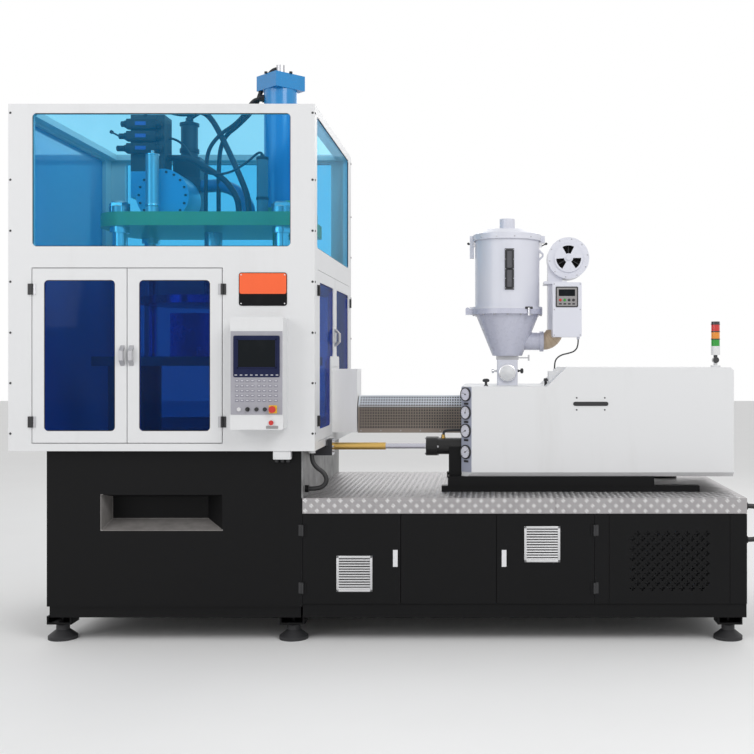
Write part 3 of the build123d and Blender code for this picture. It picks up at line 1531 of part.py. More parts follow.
# Signal tower on its folding knuckle
tower_base_bottom = tower_knuckle_z + tower_base_lift
with BuildPart() as signal_tower:
    bar(tower_x, tower_y - tower_knuckle_width / 2, tower_knuckle_z, Y_OUT, tower_knuckle_radius,
        tower_knuckle_width)
    bar(tower_x, tower_y, tower_knuckle_z, Z_OUT, tower_pole_radius, tower_base_lift)
    bar(tower_x, tower_y, tower_base_bottom, Z_OUT, tower_radius, tower_base_height)
    for lens in range(tower_lenses):
        lens_bottom = tower_base_bottom + tower_base_height + lens * (tower_lens_height + tower_rim_height)
        bar(tower_x, tower_y, lens_bottom, Z_OUT, tower_radius - tower_lens_inset, tower_lens_height)
        bar(tower_x, tower_y, lens_bottom + tower_lens_height, Z_OUT, tower_radius, tower_rim_height)
    bar(tower_x, tower_y, lens_bottom + tower_lens_height + tower_rim_height, Z_OUT,
        tower_radius - tower_lens_inset, tower_cap_height)
keep(signal_tower, "signal_tower")

# Free cables and hoses
cable_start = (box_right - box_gland_inset, box_front + box_gland_setback, box_bottom - gland_height)
conduit_start = (cabinet_length - conduit_offset, hose_y, cabinet_floor - hose_fitting_length)
end_hose_start = (deck_right + hose_fitting_length, hose_y, end_hose_high)


def cord_form(start, steps, radius):
    """A round tube along straight runs joined by the largest arcs that they leave room for."""
    points = [at(start[0] + along, start[1], start[2] + up) for along, up in steps]
    radii = []
    for before, here, after in zip(points, points[1:], points[2:]):
        turn = (here - before).get_angle(after - here)
        shorter = min((here - before).length, (after - here).length)
        radii.append(arc_share * shorter / tan(radians(turn) / 2))
    with BuildLine() as path:
        FilletPolyline(*points, radius=radii)
    with BuildSketch(Plane(origin=path.line @ 0, z_dir=path.line % 0)) as section:
        Circle(radius)
    sweep(section.sketch, path=path.line)
    print("arc radii", [round(arc) for arc in radii], "length", round(path.wire().length))


with BuildPart() as dryer_cable:
    cord_form(cable_start, cable_steps, cable_radius)
keep(dryer_cable, "dryer_cable")

with BuildPart() as cabinet_hose:
    cord_form(conduit_start, conduit_steps, conduit_radius)
keep(cabinet_hose, "cabinet_hose")

with BuildPart() as end_hose:
    cord_form(end_hose_start, end_hose_steps, end_hose_radius)
keep(end_hose, "end_hose")
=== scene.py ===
"""Dresses the moulding machine: finishes, windows, controls, fittings, hoses, floor, light and camera."""

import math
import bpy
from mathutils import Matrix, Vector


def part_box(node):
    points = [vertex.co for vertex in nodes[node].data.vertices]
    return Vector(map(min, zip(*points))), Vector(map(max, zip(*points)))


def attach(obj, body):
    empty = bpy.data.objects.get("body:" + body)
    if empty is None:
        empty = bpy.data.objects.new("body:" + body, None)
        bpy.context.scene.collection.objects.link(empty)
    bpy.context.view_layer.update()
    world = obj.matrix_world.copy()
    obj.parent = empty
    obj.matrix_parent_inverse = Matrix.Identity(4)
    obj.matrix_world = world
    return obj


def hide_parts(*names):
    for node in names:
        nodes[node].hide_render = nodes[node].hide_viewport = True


bl_info = {
    "name": "Bottle moulding machine",
    "version": (1, 0, 0),
    "blender": (4, 5, 0),
    "location": "3D View > Sidebar > Machine",
    "description": "Dresses the moulding machine's solids with controls, fittings and finishes",
    "category": "Object",
}

import bmesh
import bpy
from bpy.props import FloatProperty, FloatVectorProperty, IntProperty, PointerProperty
from bpy.types import Operator, Panel, PropertyGroup
from mathutils import Matrix, Vector

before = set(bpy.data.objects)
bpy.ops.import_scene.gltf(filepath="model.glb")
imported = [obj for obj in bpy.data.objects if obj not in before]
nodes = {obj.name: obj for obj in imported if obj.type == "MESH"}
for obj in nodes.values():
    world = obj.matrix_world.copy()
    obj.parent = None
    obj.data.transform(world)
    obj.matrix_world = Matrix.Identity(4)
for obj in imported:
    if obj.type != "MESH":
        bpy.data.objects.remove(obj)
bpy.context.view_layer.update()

MM = 0.001
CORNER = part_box("cabinet_lower")[0]
X, Y, Z = Vector((1, 0, 0)), Vector((0, 1, 0)), Vector((0, 0, 1))
EIGHTH_TURN = math.pi / 4


def place(x, y, z):
    """A station in millimetres from the cabinet's front left corner and the floor, as a point in metres."""
    return Vector((CORNER.x + x * MM, CORNER.y + y * MM, z * MM))


def colour(name, text, value):
    """A colour that a user may change."""
    return FloatVectorProperty(name=name, description=text, default=value, size=4, subtype="COLOR",
                               min=0, max=1)


def length(name, text, value):
    """A length in metres that a user may change."""
    return FloatProperty(name=name, description=text, default=value, unit="LENGTH", min=0)


class MachineColours(PropertyGroup):
    """Paints and tints of the machine."""

    white: colour("White", "Powder coat of the cabinet and covers", (0.72, 0.725, 0.735, 1))
    black: colour("Black", "Enamel of the base and the deck's frame", (0.007, 0.007, 0.0075, 1))
    pale: colour("Dryer white", "Lavender white of the hopper dryer", (0.68, 0.69, 0.76, 1))
    green: colour("Green", "Enamel of the platens", (0.28, 0.5, 0.16, 1))
    blue: colour("Blue", "Enamel of the hydraulic cylinders", (0.004, 0.17, 0.45, 1))
    tint: colour("Upper tint", "What one face of an upper window lets through", (0.55, 0.88, 1.0, 1))
    deep_tint: colour("Lower tint", "What one face of a door window lets through", (0.21, 0.43, 0.82, 1))
    plate: colour("Plate", "Upper band of the blank plate", (0.9, 0.125, 0.03, 1))


class MachineSizes(PropertyGroup):
    """Sizes of what is fitted to the machine."""

    screw: length("Panel screw", "Radius of a panel screw's head", 0.0072)
    tread_pitch: length("Tread pitch", "Distance between the groups of the deck's raised bars", 0.0355)
    tread_bar: length("Tread bar", "Length of a raised bar", 0.03)
    guard_pitch: length("Guard pitch", "Distance between the barrel guard's holes", 0.0168)
    guard_web: length("Guard web", "Metal left between the barrel guard's holes", 0.0075)
    seal: length("Window seal", "Radius of the seal round a pane", 0.0026)
    key: length("Key", "Width of a key of the operator panel", 0.0225)
    lens: FloatProperty(name="Lens", description="Focal length of the camera", default=51.71, unit="CAMERA")
    key_rows: IntProperty(name="Key rows", description="Rows of keys under the screen", default=5, min=1)


class Wire:
    """A socket of a finish, with the sums that masks and shades need."""

    def __init__(self, finish, socket):
        self.finish = finish
        self.socket = socket

    def sum(self, operation, first, second):
        """A sum of two wires or values, by its node's name."""
        return self.finish.node("ShaderNodeMath", {"operation": operation}, {0: first, 1: second})

    def __add__(self, other):
        return self.sum("ADD", self, other)

    def __sub__(self, other):
        return self.sum("SUBTRACT", self, other)

    def __rsub__(self, other):
        return self.sum("SUBTRACT", other, self)

    def __mul__(self, other):
        return self.sum("MULTIPLY", self, other)

    def __gt__(self, other):
        return self.sum("GREATER_THAN", self, other)

    def __lt__(self, other):
        return self.sum("LESS_THAN", self, other)


class Nodes:
    """A node tree under construction: one method adds a node with its settings, values and links."""

    def __init__(self, tree):
        self.tree = tree

    def node(self, kind, settings=None, values=None, output=0):
        """Add a node and give one of its outputs as a wire."""
        made = self.tree.nodes.new(kind)
        for key, value in (settings or {}).items():
            setattr(made, key, value)
        for key, value in (values or {}).items():
            self.join(made.inputs[key], value)
        return None if output is None else Wire(self, made.outputs[output])

    def join(self, socket, value):
        """Link a wire to a socket, or set the socket to a value."""
        if isinstance(value, Wire):
            self.tree.links.new(value.socket, socket)
        else:
            socket.default_value = value


class Finish(Nodes):
    """A material whose nodes read the place on the piece."""

    def __init__(self, name, base, rough, metal=0.0, coat=0.0):
        self.material = bpy.data.materials.new(name)
        self.material.use_nodes = True
        super().__init__(self.material.node_tree)
        self.surface = self.tree.nodes["Principled BSDF"]
        self.set("Base Color", base)
        self.set("Roughness", rough)
        self.set("Metallic", metal)
        self.set("Coat Weight", coat)
        self.where = self.node("ShaderNodeTexCoord", output="Object")
        split = self.node("ShaderNodeSeparateXYZ", values={0: self.where}).socket.node
        self.x, self.y, self.z = (Wire(self, split.outputs[axis]) for axis in "XYZ")

    def set(self, socket, value):
        """Link or set an input of the surface."""
        self.join(self.surface.inputs[socket], value)

    def keep(self, shade, gloss):
        """Show a colour and a roughness, and keep them for accents to build on."""
        self.shade, self.gloss = shade, gloss
        self.set("Base Color", shade)
        self.set("Roughness", gloss)

    def mix(self, share, first, second):
        """A share of the second colour over the first."""
        made = self.node("ShaderNodeMix", {"data_type": "RGBA"}, {0: share, 6: first, 7: second})
        return Wire(self, made.socket.node.outputs[2])

    def noise(self, scale, detail, rough=0.5, stretch=(1, 1, 1)):
        """Cloudy values from 0 to 1 over the piece."""
        spot = self.node("ShaderNodeMapping", values={"Vector": self.where, "Scale": stretch})
        return self.node("ShaderNodeTexNoise", values={
            "Vector": spot, "Scale": scale, "Detail": detail, "Roughness": rough})

    def ease(self, value, low, high):
        """0 up to a low value, 1 from a high one, smooth in between."""
        return self.node("ShaderNodeMapRange", {"interpolation_type": "SMOOTHSTEP"}, {
            "Value": value, "From Min": low, "From Max": high})

    def bump(self, height, strength, distance):
        """Roughen the surface by a height."""
        self.set("Normal", self.node("ShaderNodeBump", values={
            "Strength": strength, "Distance": distance, "Height": height}))

    def within(self, **bounds):
        """1 inside the bounds of x, y and z, as (low, high) in millimetres with None for an open side."""
        mask = None
        for axis, key in enumerate("xyz"):
            wire = getattr(self, key)
            low, high = bounds.get(key, (None, None))
            for bound, above in ((low, True), (high, False)):
                if bound is None:
                    continue
                edge = place(*((bound,) * 3))[axis]
                part = wire > edge if above else wire < edge
                mask = part if mask is None else mask * part
        return mask


GRIME = (0.62, 0.6, 0.56)
TARNISH = 0.55
PAINT_SKIN, FINE_SKIN = 0.0006, 0.0004


def painted(name, base, rough=0.42, grain=0.06, drift=0.05, coat=0.0, sheen=0.5):
    """Sprayed paint: slow drift of tone, faint grime in streaks and the pitted skin of powder coat."""
    finish = Finish(name, base, rough, coat=coat)
    finish.set("Specular IOR Level", sheen)
    slow = finish.noise(1.7, 4.0)
    streak = finish.ease(finish.noise(6.0, 5.0, 0.6, (1, 1, 0.12)), 0.52, 0.8)
    dull = tuple(c * share for c, share in zip(base, GRIME)) + (1,)
    finish.keep(finish.mix(streak * drift * 3.0 + slow * drift, base, dull),
                finish.noise(38.0, 2.0) * 0.12 + (rough - 0.06))
    finish.bump(finish.noise(620.0, 2.0), grain, PAINT_SKIN)
    return finish


def metal(name, base, rough=0.3, along=(1, 1, 1), drift=0.2):
    """Machined or drawn metal: fine tool lines along one axis and a little tarnish."""
    finish = Finish(name, base, rough, 1.0)
    tarnish = finish.ease(finish.noise(9.0, 5.0, 0.6), 0.45, 0.75)
    lines = finish.noise(260.0, 2.0, 0.5, along)
    dull = tuple(c * TARNISH for c in base[:3]) + (1,)
    finish.keep(finish.mix(tarnish * drift, base, dull), lines * 0.16 + tarnish * 0.1 + (rough - 0.1))
    finish.bump(lines, 0.08, FINE_SKIN)
    return finish


def moulded(name, base, rough=0.45, grain=0.12, coat=0.0, sheen=0.5):
    """Moulded plastic or rubber: even colour with a fine grain and rubbed patches."""
    finish = Finish(name, base, rough, coat=coat)
    finish.set("Specular IOR Level", sheen)
    rubbed = finish.ease(finish.noise(14.0, 4.0), 0.5, 0.8)
    pale = tuple(min(1.0, c * 1.25 + 0.01) for c in base[:3]) + (1,)
    finish.keep(finish.mix(rubbed * 0.35, base, pale), finish.noise(90.0, 2.0) * 0.14 + (rough - 0.07))
    finish.bump(finish.noise(900.0, 2.0), grain, FINE_SKIN)
    return finish


# Extra density of the upper panes low down and on the left pane: painted shade of the wall seen through them
LOW_PANE_PAINTED_SHADE = 0.4
LEFT_PANE_PAINTED_SHADE = 0.7


def tinted(name, tint, veil, share, below=None, beside=None):
    """Coloured acrylic sheet: tinted see-through with a glossy skin and a trace of dust.

    What lies below a height or left of a place, both in metres, is denser, as painted shade seen through the
    pane.
    """
    finish = Finish(name, veil, 0.06, coat=0.3)
    dust = finish.ease(finish.noise(3.2, 5.0, 0.6), 0.45, 0.85)
    finish.set("Roughness", dust * 0.12 + 0.03)
    density = dust * 0.05 + share
    if below is not None:
        # Denser low down and on the left pane: painted shade
        density = density + (finish.z < below) * LOW_PANE_PAINTED_SHADE + (finish.x < beside) * LEFT_PANE_PAINTED_SHADE
    clear = finish.node("ShaderNodeBsdfTransparent", values={"Color": tint})
    blend = finish.node("ShaderNodeMixShader", values={
        "Fac": density, 1: clear, 2: Wire(finish, finish.surface.outputs[0])})
    finish.join(finish.tree.nodes["Material Output"].inputs["Surface"], blend)
    return finish


def accent(finish, mask, base, rough, metallic=None):
    """Paint what the mask covers in another colour and roughness, and more or less metallic if asked."""
    finish.keep(finish.mix(mask, finish.shade, base), finish.gloss * (1 - mask) + mask * rough)
    if metallic is not None:
        before = finish.surface.inputs["Metallic"].default_value
        finish.shine = mask * (metallic - before) + getattr(finish, "shine", before)
        finish.set("Metallic", finish.shine)


def patch(finish, base, rough, metallic=None, **bounds):
    """Paint what lies within bounds in another colour."""
    accent(finish, finish.within(**bounds), base, rough, metallic)


CHROME = (0.78, 0.78, 0.8, 1)
STEEL = (0.5, 0.5, 0.52, 1)
DARK = (0.02, 0.02, 0.022, 1)
BRASS = (0.62, 0.4, 0.12, 1)
RED = (0.55, 0.02, 0.015, 1)
AMBER = (0.75, 0.25, 0.01, 1)
LAMP_GREEN = (0.01, 0.3, 0.02, 1)
YELLOW = (0.85, 0.5, 0.02, 1)
DULL = 0.12
# Places and sizes in millimetres that tell the painted parts of a solid apart
BARREL_AXIS = (850, 1350)
HEATER_BAND = 70
GAUGE_MIDDLE = (2743.5, 392.5)
GAUGE_PROUD = 6.5
CHUTE_MOUTH = (60, 677)
CHUTE_SLOPE = 45 / 180
CHUTE_LINING = 9
LEFT_PANE = 40
# Finishes of the fitted pieces, by name, made by the first step after the stage
PAINT = {}


def wear(finish, *names):
    """Give CAD nodes a finish."""
    for name in names:
        node = nodes[name]
        node.data.materials.clear()
        node.data.materials.append(finish.material)


class MACHINE_OT_finishes(Operator):
    """Paint the solids: cabinet, base, deck, press, injection unit, dryer and tower"""

    bl_idname = "machine.finishes"
    bl_label = "Finishes"

    def execute(self, context):
        paints = context.scene.machine_colours
        white, black, pale = tuple(paints.white), tuple(paints.black), tuple(paints.pale)
        green, blue = tuple(paints.green), tuple(paints.blue)
        wear(painted("Cabinet_powder_coat", white), "cabinet_lower", "cabinet_upper", "injection_cover")
        wear(painted("Guard_powder_coat", white, 0.4), "operator_box")
        # The purge guard's white is lighter than the cabinet's: painted light on the same powder coat
        wear(painted("Purge_powder_coat", (0.86, 0.86, 0.865, 1), 0.4), "purge_guard")
        on_front, on_side = {"y": (None, -0.8)}, {"x": (1840.8, None)}
        for name, handle in (("front_door_left", on_front), ("front_door_right", on_front),
                             ("side_door_front", on_side), ("side_door_rear", on_side)):
            leaf = painted("Leaf_" + name, white)
            patch(leaf, STEEL, 0.3, 1.0, **handle)
            wear(leaf, name)
        enamel = painted("Base_enamel", black, 0.38, 0.05, 0.1, 0.0, DULL)
        # A narrow side face of the black base is painted grey and half metallic in patches: painted sheen
        # where light falls on it
        lit_side_sheen = enamel.within(x=(1750, 1758), z=(876, 1164))
        accent(enamel, lit_side_sheen * enamel.noise(7.0, 5.0, 0.6), (0.5, 0.5, 0.5, 1), 0.45, 0.5)
        wear(enamel, "machine_base", "deck_base", "deck_perforated_panel",
             "slide_rails", "sled", "foot_brackets")
        for name, lock in (("deck_door_left", (2296, 2342)), ("deck_door_right", (2954, 3000))):
            leaf = painted("Leaf_" + name, black, 0.38, 0.05, 0.1, 0.0, DULL)
            patch(leaf, CHROME, 0.2, 1.0, x=lock, y=(None, 59.4), z=(450, 575))
            wear(leaf, name)
        wear(metal("Tread_aluminium", (0.4, 0.385, 0.39, 1), 0.42, (1, 8, 1)), "deck_plates")
        chute = painted("Chute_paint", black, 0.5, 0.05, 0.15, 0.0, DULL)
        mouth = place(0, *CHUTE_MOUTH)
        slope = (chute.y - mouth.y) * CHUTE_SLOPE + (mouth.z + CHUTE_LINING * MM)
        scuffs_and_painted_light = chute.noise(14.0, 5.0, 0.6) * 0.6 + 0.4
        # The floor and the left wall, the faces turned to the light, are painted lighter grey in patches:
        # painted light with scuffs
        for mask in (chute.z < slope, chute.within(x=(None, 548))):
            accent(chute, mask * scuffs_and_painted_light, (0.3, 0.285, 0.275, 1), 0.5)
        wear(chute, "chute")
        wear(moulded("Foot_rubber", (0.018, 0.018, 0.02, 1), 0.6), "foot_pads")
        wear(moulded("Hinge_black", DARK, 0.38), "door_hinges", "selector")
        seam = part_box("cabinet_lower")[1].z
        left_pane = place(LEFT_PANE, 0, 0).x
        upper = tinted("Upper_tint", tuple(paints.tint), (0.01, 0.3, 0.62, 1), 0.1, seam, left_pane)
        wear(upper, "upper_windows")
        deep = tinted("Door_tint", tuple(paints.deep_tint), (0.004, 0.03, 0.16, 1), 0.12)
        wear(deep, "front_window_left", "front_window_right", "side_window_front", "side_window_rear")
        self.stock(white, blue, green, tuple(paints.plate))
        self.press(green)
        self.controls()
        self.carriage(black, blue)
        self.dryer(pale)
        return {"FINISHED"}

    def stock(self, white, blue, green, plate):
        """Finishes of the pieces that are fitted to the solids."""
        PAINT.update({
            "black": moulded("Fitting_black", DARK, 0.4),
            "gloss_black": moulded("Plate_black", (0.006, 0.006, 0.007, 1), 0.3, 0.02, 0.0, DULL),
            "rubber": moulded("Seal_rubber", (0.02, 0.021, 0.024, 1), 0.6, 0.2),
            "orange": painted("Plate_orange", plate, 0.35, 0.03, 0.03),
            "chrome": metal("Fitting_chrome", CHROME, 0.16),
            "steel": metal("Fitting_steel", STEEL, 0.3),
            "silver": metal("Fitting_silver", (0.66, 0.66, 0.67, 1), 0.36),
            "brass": metal("Fitting_brass", BRASS, 0.28),
            "iron": painted("Fitting_iron", (0.02, 0.021, 0.024, 1), 0.45, 0.15, 0.1, 0.0, 0.3),
            # Bars on one slant are painted bright as a painted glint; bars on the other slant keep the plain
            # tone
            "tread": metal("Tread_bar", (0.86, 0.86, 0.86, 1), 0.3),
            "tread_dull": metal("Tread_cross_bar", (0.42, 0.41, 0.42, 1), 0.45),
            "sight": moulded("Sight_glass", (0.07, 0.07, 0.08, 1), 0.12, 0.02, 0.3),
            "guard": painted("Guard_web", (0.3, 0.25, 0.21, 1), 0.45),
            # The guard's top is painted pale and bluish against the brown of its sides: a painted highlight
            "guard_painted_highlight": painted("Guard_crown", (0.66, 0.69, 0.74, 1), 0.4),
            "white": painted("Fitting_white", white, 0.4),
            "blue": painted("Fitting_blue", blue, 0.3, 0.03, 0.06, 0.2),
            "green": painted("Fitting_green", green, 0.35, 0.05, 0.08),
            "grey": moulded("Fitting_grey", (0.28, 0.27, 0.27, 1), 0.45),
            "beige": painted("Elbow_ring", (0.5, 0.38, 0.26, 1), 0.45),
            "navy": moulded("Bezel_navy", (0.013, 0.017, 0.055, 1), 0.38, 0.06, 0.0, DULL),
            "screen": moulded("Dark_screen", (0.005, 0.007, 0.009, 1), 0.2, 0.01, 0.0, DULL),
            "key": moulded("Key_grey", (0.24, 0.235, 0.28, 1), 0.45, 0.05),
            "legend": moulded("Key_legend", (0.7, 0.7, 0.74, 1), 0.5, 0.02),
            "dial": moulded("Gauge_dial", (0.7, 0.7, 0.78, 1), 0.35, 0.02, 0.3),
            "red": moulded("Lamp_red", RED, 0.25, 0.02, 0.4),
            "green_lamp": moulded("Lamp_green", LAMP_GREEN, 0.25, 0.02, 0.4),
            "label_blue": moulded("Tag_blue", (0.03, 0.09, 0.4, 1), 0.4, 0.03),
        })

    def press(self, green):
        """Finishes of the platens, tie bars, moulds, clamp cylinder and valves."""
        platen = painted("Platen_enamel", green, 0.35, 0.05, 0.1, 0.2)
        wear(platen, "lower_platen", "upper_platen", "core_platen")
        wear(metal("Ground_steel", STEEL, 0.25, (1, 1, 0.1)), "rotary_plate", "mould_left", "mould_right")
        bars = metal("Tie_bar_chrome", CHROME, 0.2, (1, 1, 6))
        patch(bars, (0.2, 0.21, 0.23, 1), 0.4, z=(None, 1675))
        wear(bars, "tie_bars")
        ram = painted("Clamp_enamel", (0.006, 0.25, 0.6, 1), 0.25, 0.03, 0.06, 0.3)
        patch(ram, STEEL, 0.35, 1.0, z=(3636.5, None))
        wear(ram, "clamp_cylinder")
        valves = painted("Valve_iron", (0.03, 0.032, 0.036, 1), 0.5, 0.2, 0.1)
        patch(valves, (0.1, 0.45, 0.75, 1), 0.3, y=(530, 836), z=(None, 2957))
        patch(valves, (0.6, 0.63, 0.66, 1), 0.3, 0.7, y=(None, 530))
        patch(valves, (0.16, 0.2, 0.24, 1), 0.35, x=(1350, None))
        wear(valves, "hydraulics")

    def controls(self):
        """Finishes of the operator face and its red buttons."""
        face = moulded("Panel_membrane", (0.34, 0.335, 0.375, 1), 0.42, 0.05)
        proud = face.within(y=(None, -143.4))
        for x, reach, shade, rough, shine in (
                (1419, 20, CHROME, 0.2, 1.0), (1522, 20, DARK, 0.35, 0.0), (1571, 20, DARK, 0.35, 0.0),
                (1618, 26, YELLOW, 0.4, 0.0)):
            spot = face.within(x=(x - reach, x + reach), z=(1390, 1452))
            accent(face, spot * proud, shade, rough, shine)
        wear(face, "operator_face")
        wear(moulded("Stop_red", RED, 0.3, 0.03, 0.4), "emergency_stop", "low_button")

    def carriage(self, black, blue):
        """Finishes of the injection unit and the signal tower."""
        strip = painted("Gauge_strip", (0.36, 0.38, 0.47, 1), 0.4)
        middle = place(*GAUGE_MIDDLE, 0)
        accent(strip, (strip.x + strip.y) < middle.x + middle.y - GAUGE_PROUD * MM, DARK, 0.35)
        wear(strip, "gauge_panel")
        barrel = metal("Barrel_steel", (0.42, 0.42, 0.43, 1), 0.35, (0.2, 1, 1))
        axis = place(0, *BARREL_AXIS)
        off_y, off_z = barrel.y - axis.y, barrel.z - axis.z
        accent(barrel, (off_y * off_y + off_z * off_z) > (HEATER_BAND * MM) ** 2, (0.3, 0.25, 0.2, 1), 0.4)
        wear(barrel, "barrel")
        wear(metal("Screw_steel", STEEL, 0.25), "screw", "slide_gate")
        wear(painted("Drive_enamel", blue, 0.3, 0.04, 0.08), "injection_drive")
        wear(painted("Guard_sheet", (0.26, 0.215, 0.175, 1), 0.45), "barrel_guard")
        wear(painted("Cylinder_enamel", black, 0.25, 0.03, 0.1, 0.1, 0.3), "carriage_cylinder")
        rod = metal("Rod_chrome", (0.5, 0.5, 0.56, 1), 0.14, (0.2, 1, 1), 0.1)
        patch(rod, BRASS, 0.28, x=(1881, 2219.5))
        patch(rod, (0.06, 0.06, 0.065, 1), 0.4, x=(None, 1881))
        wear(rod, "carriage_rod")
        tower = moulded("Tower_plastic", (0.72, 0.72, 0.72, 1), 0.25, 0.02, 0.5)
        for low, high, shade in (
                (None, 1745.5, DARK), (1804, 1846, LAMP_GREEN), (1846, 1853, DARK), (1853, 1895, AMBER),
                (1895, 1902, DARK), (1902, 1944, RED), (1944, None, DARK)):
            patch(tower, shade, 0.2, z=(low, high))
        wear(tower, "signal_tower")

    def dryer(self, pale):
        """Finishes of the hopper dryer and its throat."""
        coat = painted("Dryer_enamel", pale, 0.32, 0.05, 0.06, 0.2)
        wear(coat, "hopper_lid", "dryer_box", "blower_housing", "blower_damper")
        drum = painted("Drum_enamel", pale, 0.32, 0.05, 0.06, 0.2)
        patch(drum, (0.05, 0.05, 0.055, 1), 0.4, x=(2989, 3051), y=(None, 650), z=(2176, 2448))
        wear(drum, "hopper_drum")
        # The cone is painted darker than the drum's enamel: painted shade under the drum
        wear(painted("Cone_enamel", (0.54, 0.55, 0.65, 1), 0.28, 0.05, 0.06, 0.3), "hopper_base")
        throat = painted("Throat_enamel", pale, 0.36, 0.05, 0.08)
        patch(throat, (0.45, 0.45, 0.47, 1), 0.4, 0.6, z=(1715.3, None))
        wear(throat, "feed_throat")
        wear(painted("Elbow_enamel", (0.56, 0.44, 0.31, 1), 0.45), "hot_air_elbow")
        wear(painted("Impeller_iron", (0.05, 0.05, 0.055, 1), 0.45), "impeller")


SHARP_ANGLE = math.radians(38)
UPRIGHT = 0.9


class Shape:
    """A piece under construction, in stations of millimetres, with one material index at a time."""

    def __init__(self, *finishes):
        self.faces = bmesh.new()
        self.finishes = finishes
        self.index = 0

    def use(self, index):
        """Give what follows the finish at an index."""
        self.index = index
        return self

    def claim(self, faces):
        """Give faces the finish in use."""
        for face in faces:
            face.material_index = self.index

    def box(self, low, high, round_off, steps=1):
        """A block between two stations with its edges rounded off."""
        a, b = place(*low), place(*high)
        size = Matrix.Diagonal((*(abs(b[i] - a[i]) for i in range(3)), 1))
        pose = Matrix.Translation((a + b) / 2) @ size
        made = bmesh.ops.create_cube(self.faces, size=1, matrix=pose)["verts"]
        edges = {edge for vert in made for edge in vert.link_edges}
        faces = {face for vert in made for face in vert.link_faces}
        cut = bmesh.ops.bevel(self.faces, geom=list(edges), offset=round_off * MM, segments=steps,
                              profile=0.5, affect="EDGES", clamp_overlap=True)
        self.claim(face for vert in cut["verts"] for face in vert.link_faces)
        self.claim(face for face in faces if face.is_valid)
        return self

    def turned(self, foot, axis, outline, sides):
        """A shape turned on an axis from a station, its outline given as (radius, distance along)."""
        axis = Vector(axis).normalized()
        across = axis.orthogonal().normalized() if abs(axis.z) < UPRIGHT else X
        other = axis.cross(across)
        start = place(*foot)
        turns = (math.tau * i / sides for i in range(sides))
        spokes = [across * math.cos(t) + other * math.sin(t) for t in turns]
        rings = []
        for radius, along in outline:
            centre = start + axis * along * MM
            rings.append([self.faces.verts.new(centre + spoke * radius * MM) for spoke in spokes])
        made = []
        for first, second in zip(rings, rings[1:]):
            for i in range(sides):
                j = (i + 1) % sides
                made.append(self.faces.faces.new((first[i], first[j], second[j], second[i])))
        made += [self.faces.faces.new(rings[0][::-1]), self.faces.faces.new(rings[-1])]
        self.claim(made)
        return self

    def prism(self, outline, direction, depth):
        """An outline of stations pushed along a direction by a depth in millimetres."""
        push = Vector(direction) * depth * MM
        near = [self.faces.verts.new(place(*spot)) for spot in outline]
        far = [self.faces.verts.new(vert.co + push) for vert in near]
        made = [self.faces.faces.new(near[::-1]), self.faces.faces.new(far)]
        for i in range(len(near)):
            j = (i + 1) % len(near)
            made.append(self.faces.faces.new((near[i], near[j], far[j], far[i])))
        self.claim(made)
        return self

    def pipe(self, route, radius, closed=False):
        """A round pipe or seal that runs smoothly past its stations."""
        curve = bent(route, radius, closed)
        holder = bpy.data.objects.new("pipe", curve)
        mesh = bpy.data.meshes.new_from_object(holder)
        count = len(self.faces.faces)
        self.faces.from_mesh(mesh)
        self.faces.faces.ensure_lookup_table()
        self.claim(self.faces.faces[count:])
        bpy.data.objects.remove(holder)
        bpy.data.curves.remove(curve)
        bpy.data.meshes.remove(mesh)
        return self

    def done(self, name, body):
        """Make the object, give it its finishes and let it ride on its body."""
        bmesh.ops.recalc_face_normals(self.faces, faces=self.faces.faces)
        mesh = bpy.data.meshes.new(name)
        self.faces.to_mesh(mesh)
        self.faces.free()
        return settle(mesh, name, body, self.finishes)


def settle(mesh, name, body, finishes):
    """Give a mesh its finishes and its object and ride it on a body."""
    if not mesh.polygons:
        raise RuntimeError(name + " has no faces")
    for finish in finishes:
        mesh.materials.append(finish.material)
    mesh.shade_smooth()
    mesh.set_sharp_from_angle(angle=SHARP_ANGLE)
    piece = bpy.data.objects.new(name, mesh)
    bpy.context.scene.collection.objects.link(piece)
    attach(piece, body)
    return piece


def bent(route, radius, closed=False):
    """A smooth curve whose control points are the stations of a route."""
    curve = bpy.data.curves.new("route", "CURVE")
    curve.dimensions = "3D"
    line = curve.splines.new("NURBS")
    line.points.add(len(route) - 1)
    for point, spot in zip(line.points, route):
        point.co = (*place(*spot), 1)
    line.use_cyclic_u = closed
    line.use_endpoint_u = not closed
    line.order_u = 3
    line.resolution_u = 6
    curve.bevel_depth = radius * MM
    curve.bevel_resolution = 3
    curve.use_fill_caps = True
    return curve


ROUTES = (
    ("dryer_cable", "carriage", 4.75, "Cable_jacket", "hanging",
     ((3474, 650, 1849), (3474, 650, 1805), (3450, 650, 1770), (3408, 650, 1757), (3366, 650, 1748),
      (3333, 650, 1727), (3318, 650, 1696), (3318, 650, 1656))),
    ("cabinet_hose", "machine", 14, "Conduit_jacket", "hanging",
     ((1798, 150, 1141), (1798, 150, 1094), (1826, 150, 1052), (1872, 150, 1022), (1894, 150, 974),
      (1868, 150, 934), (1822, 150, 922), (1780, 150, 922))),
    ("end_hose", "machine", 15, "Hose_jacket", "hanging",
     ((4473, 150, 816), (4526, 150, 816), (4578, 150, 790), (4608, 150, 740), (4608, 150, 684),
      (4576, 150, 636), (4526, 150, 610), (4473, 150, 610))),
)


class MACHINE_OT_hoses(Operator):
    """Run the dryer's cable, the conduit under the cabinet and the hose at the deck's end"""

    bl_idname = "machine.hoses"
    bl_label = "Free hoses"

    def execute(self, context):
        for node, body, radius, jacket, lay, route in ROUTES:
            hose = bpy.data.objects.new(node + "_run", bent(route, radius))
            context.scene.collection.objects.link(hose)
            hose.data.materials.append(moulded(jacket, (0.014, 0.014, 0.015, 1), 0.48, 0.2).material)
            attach(hose, body)
            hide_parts(node)
            place(*route[0])
        return {"FINISHED"}


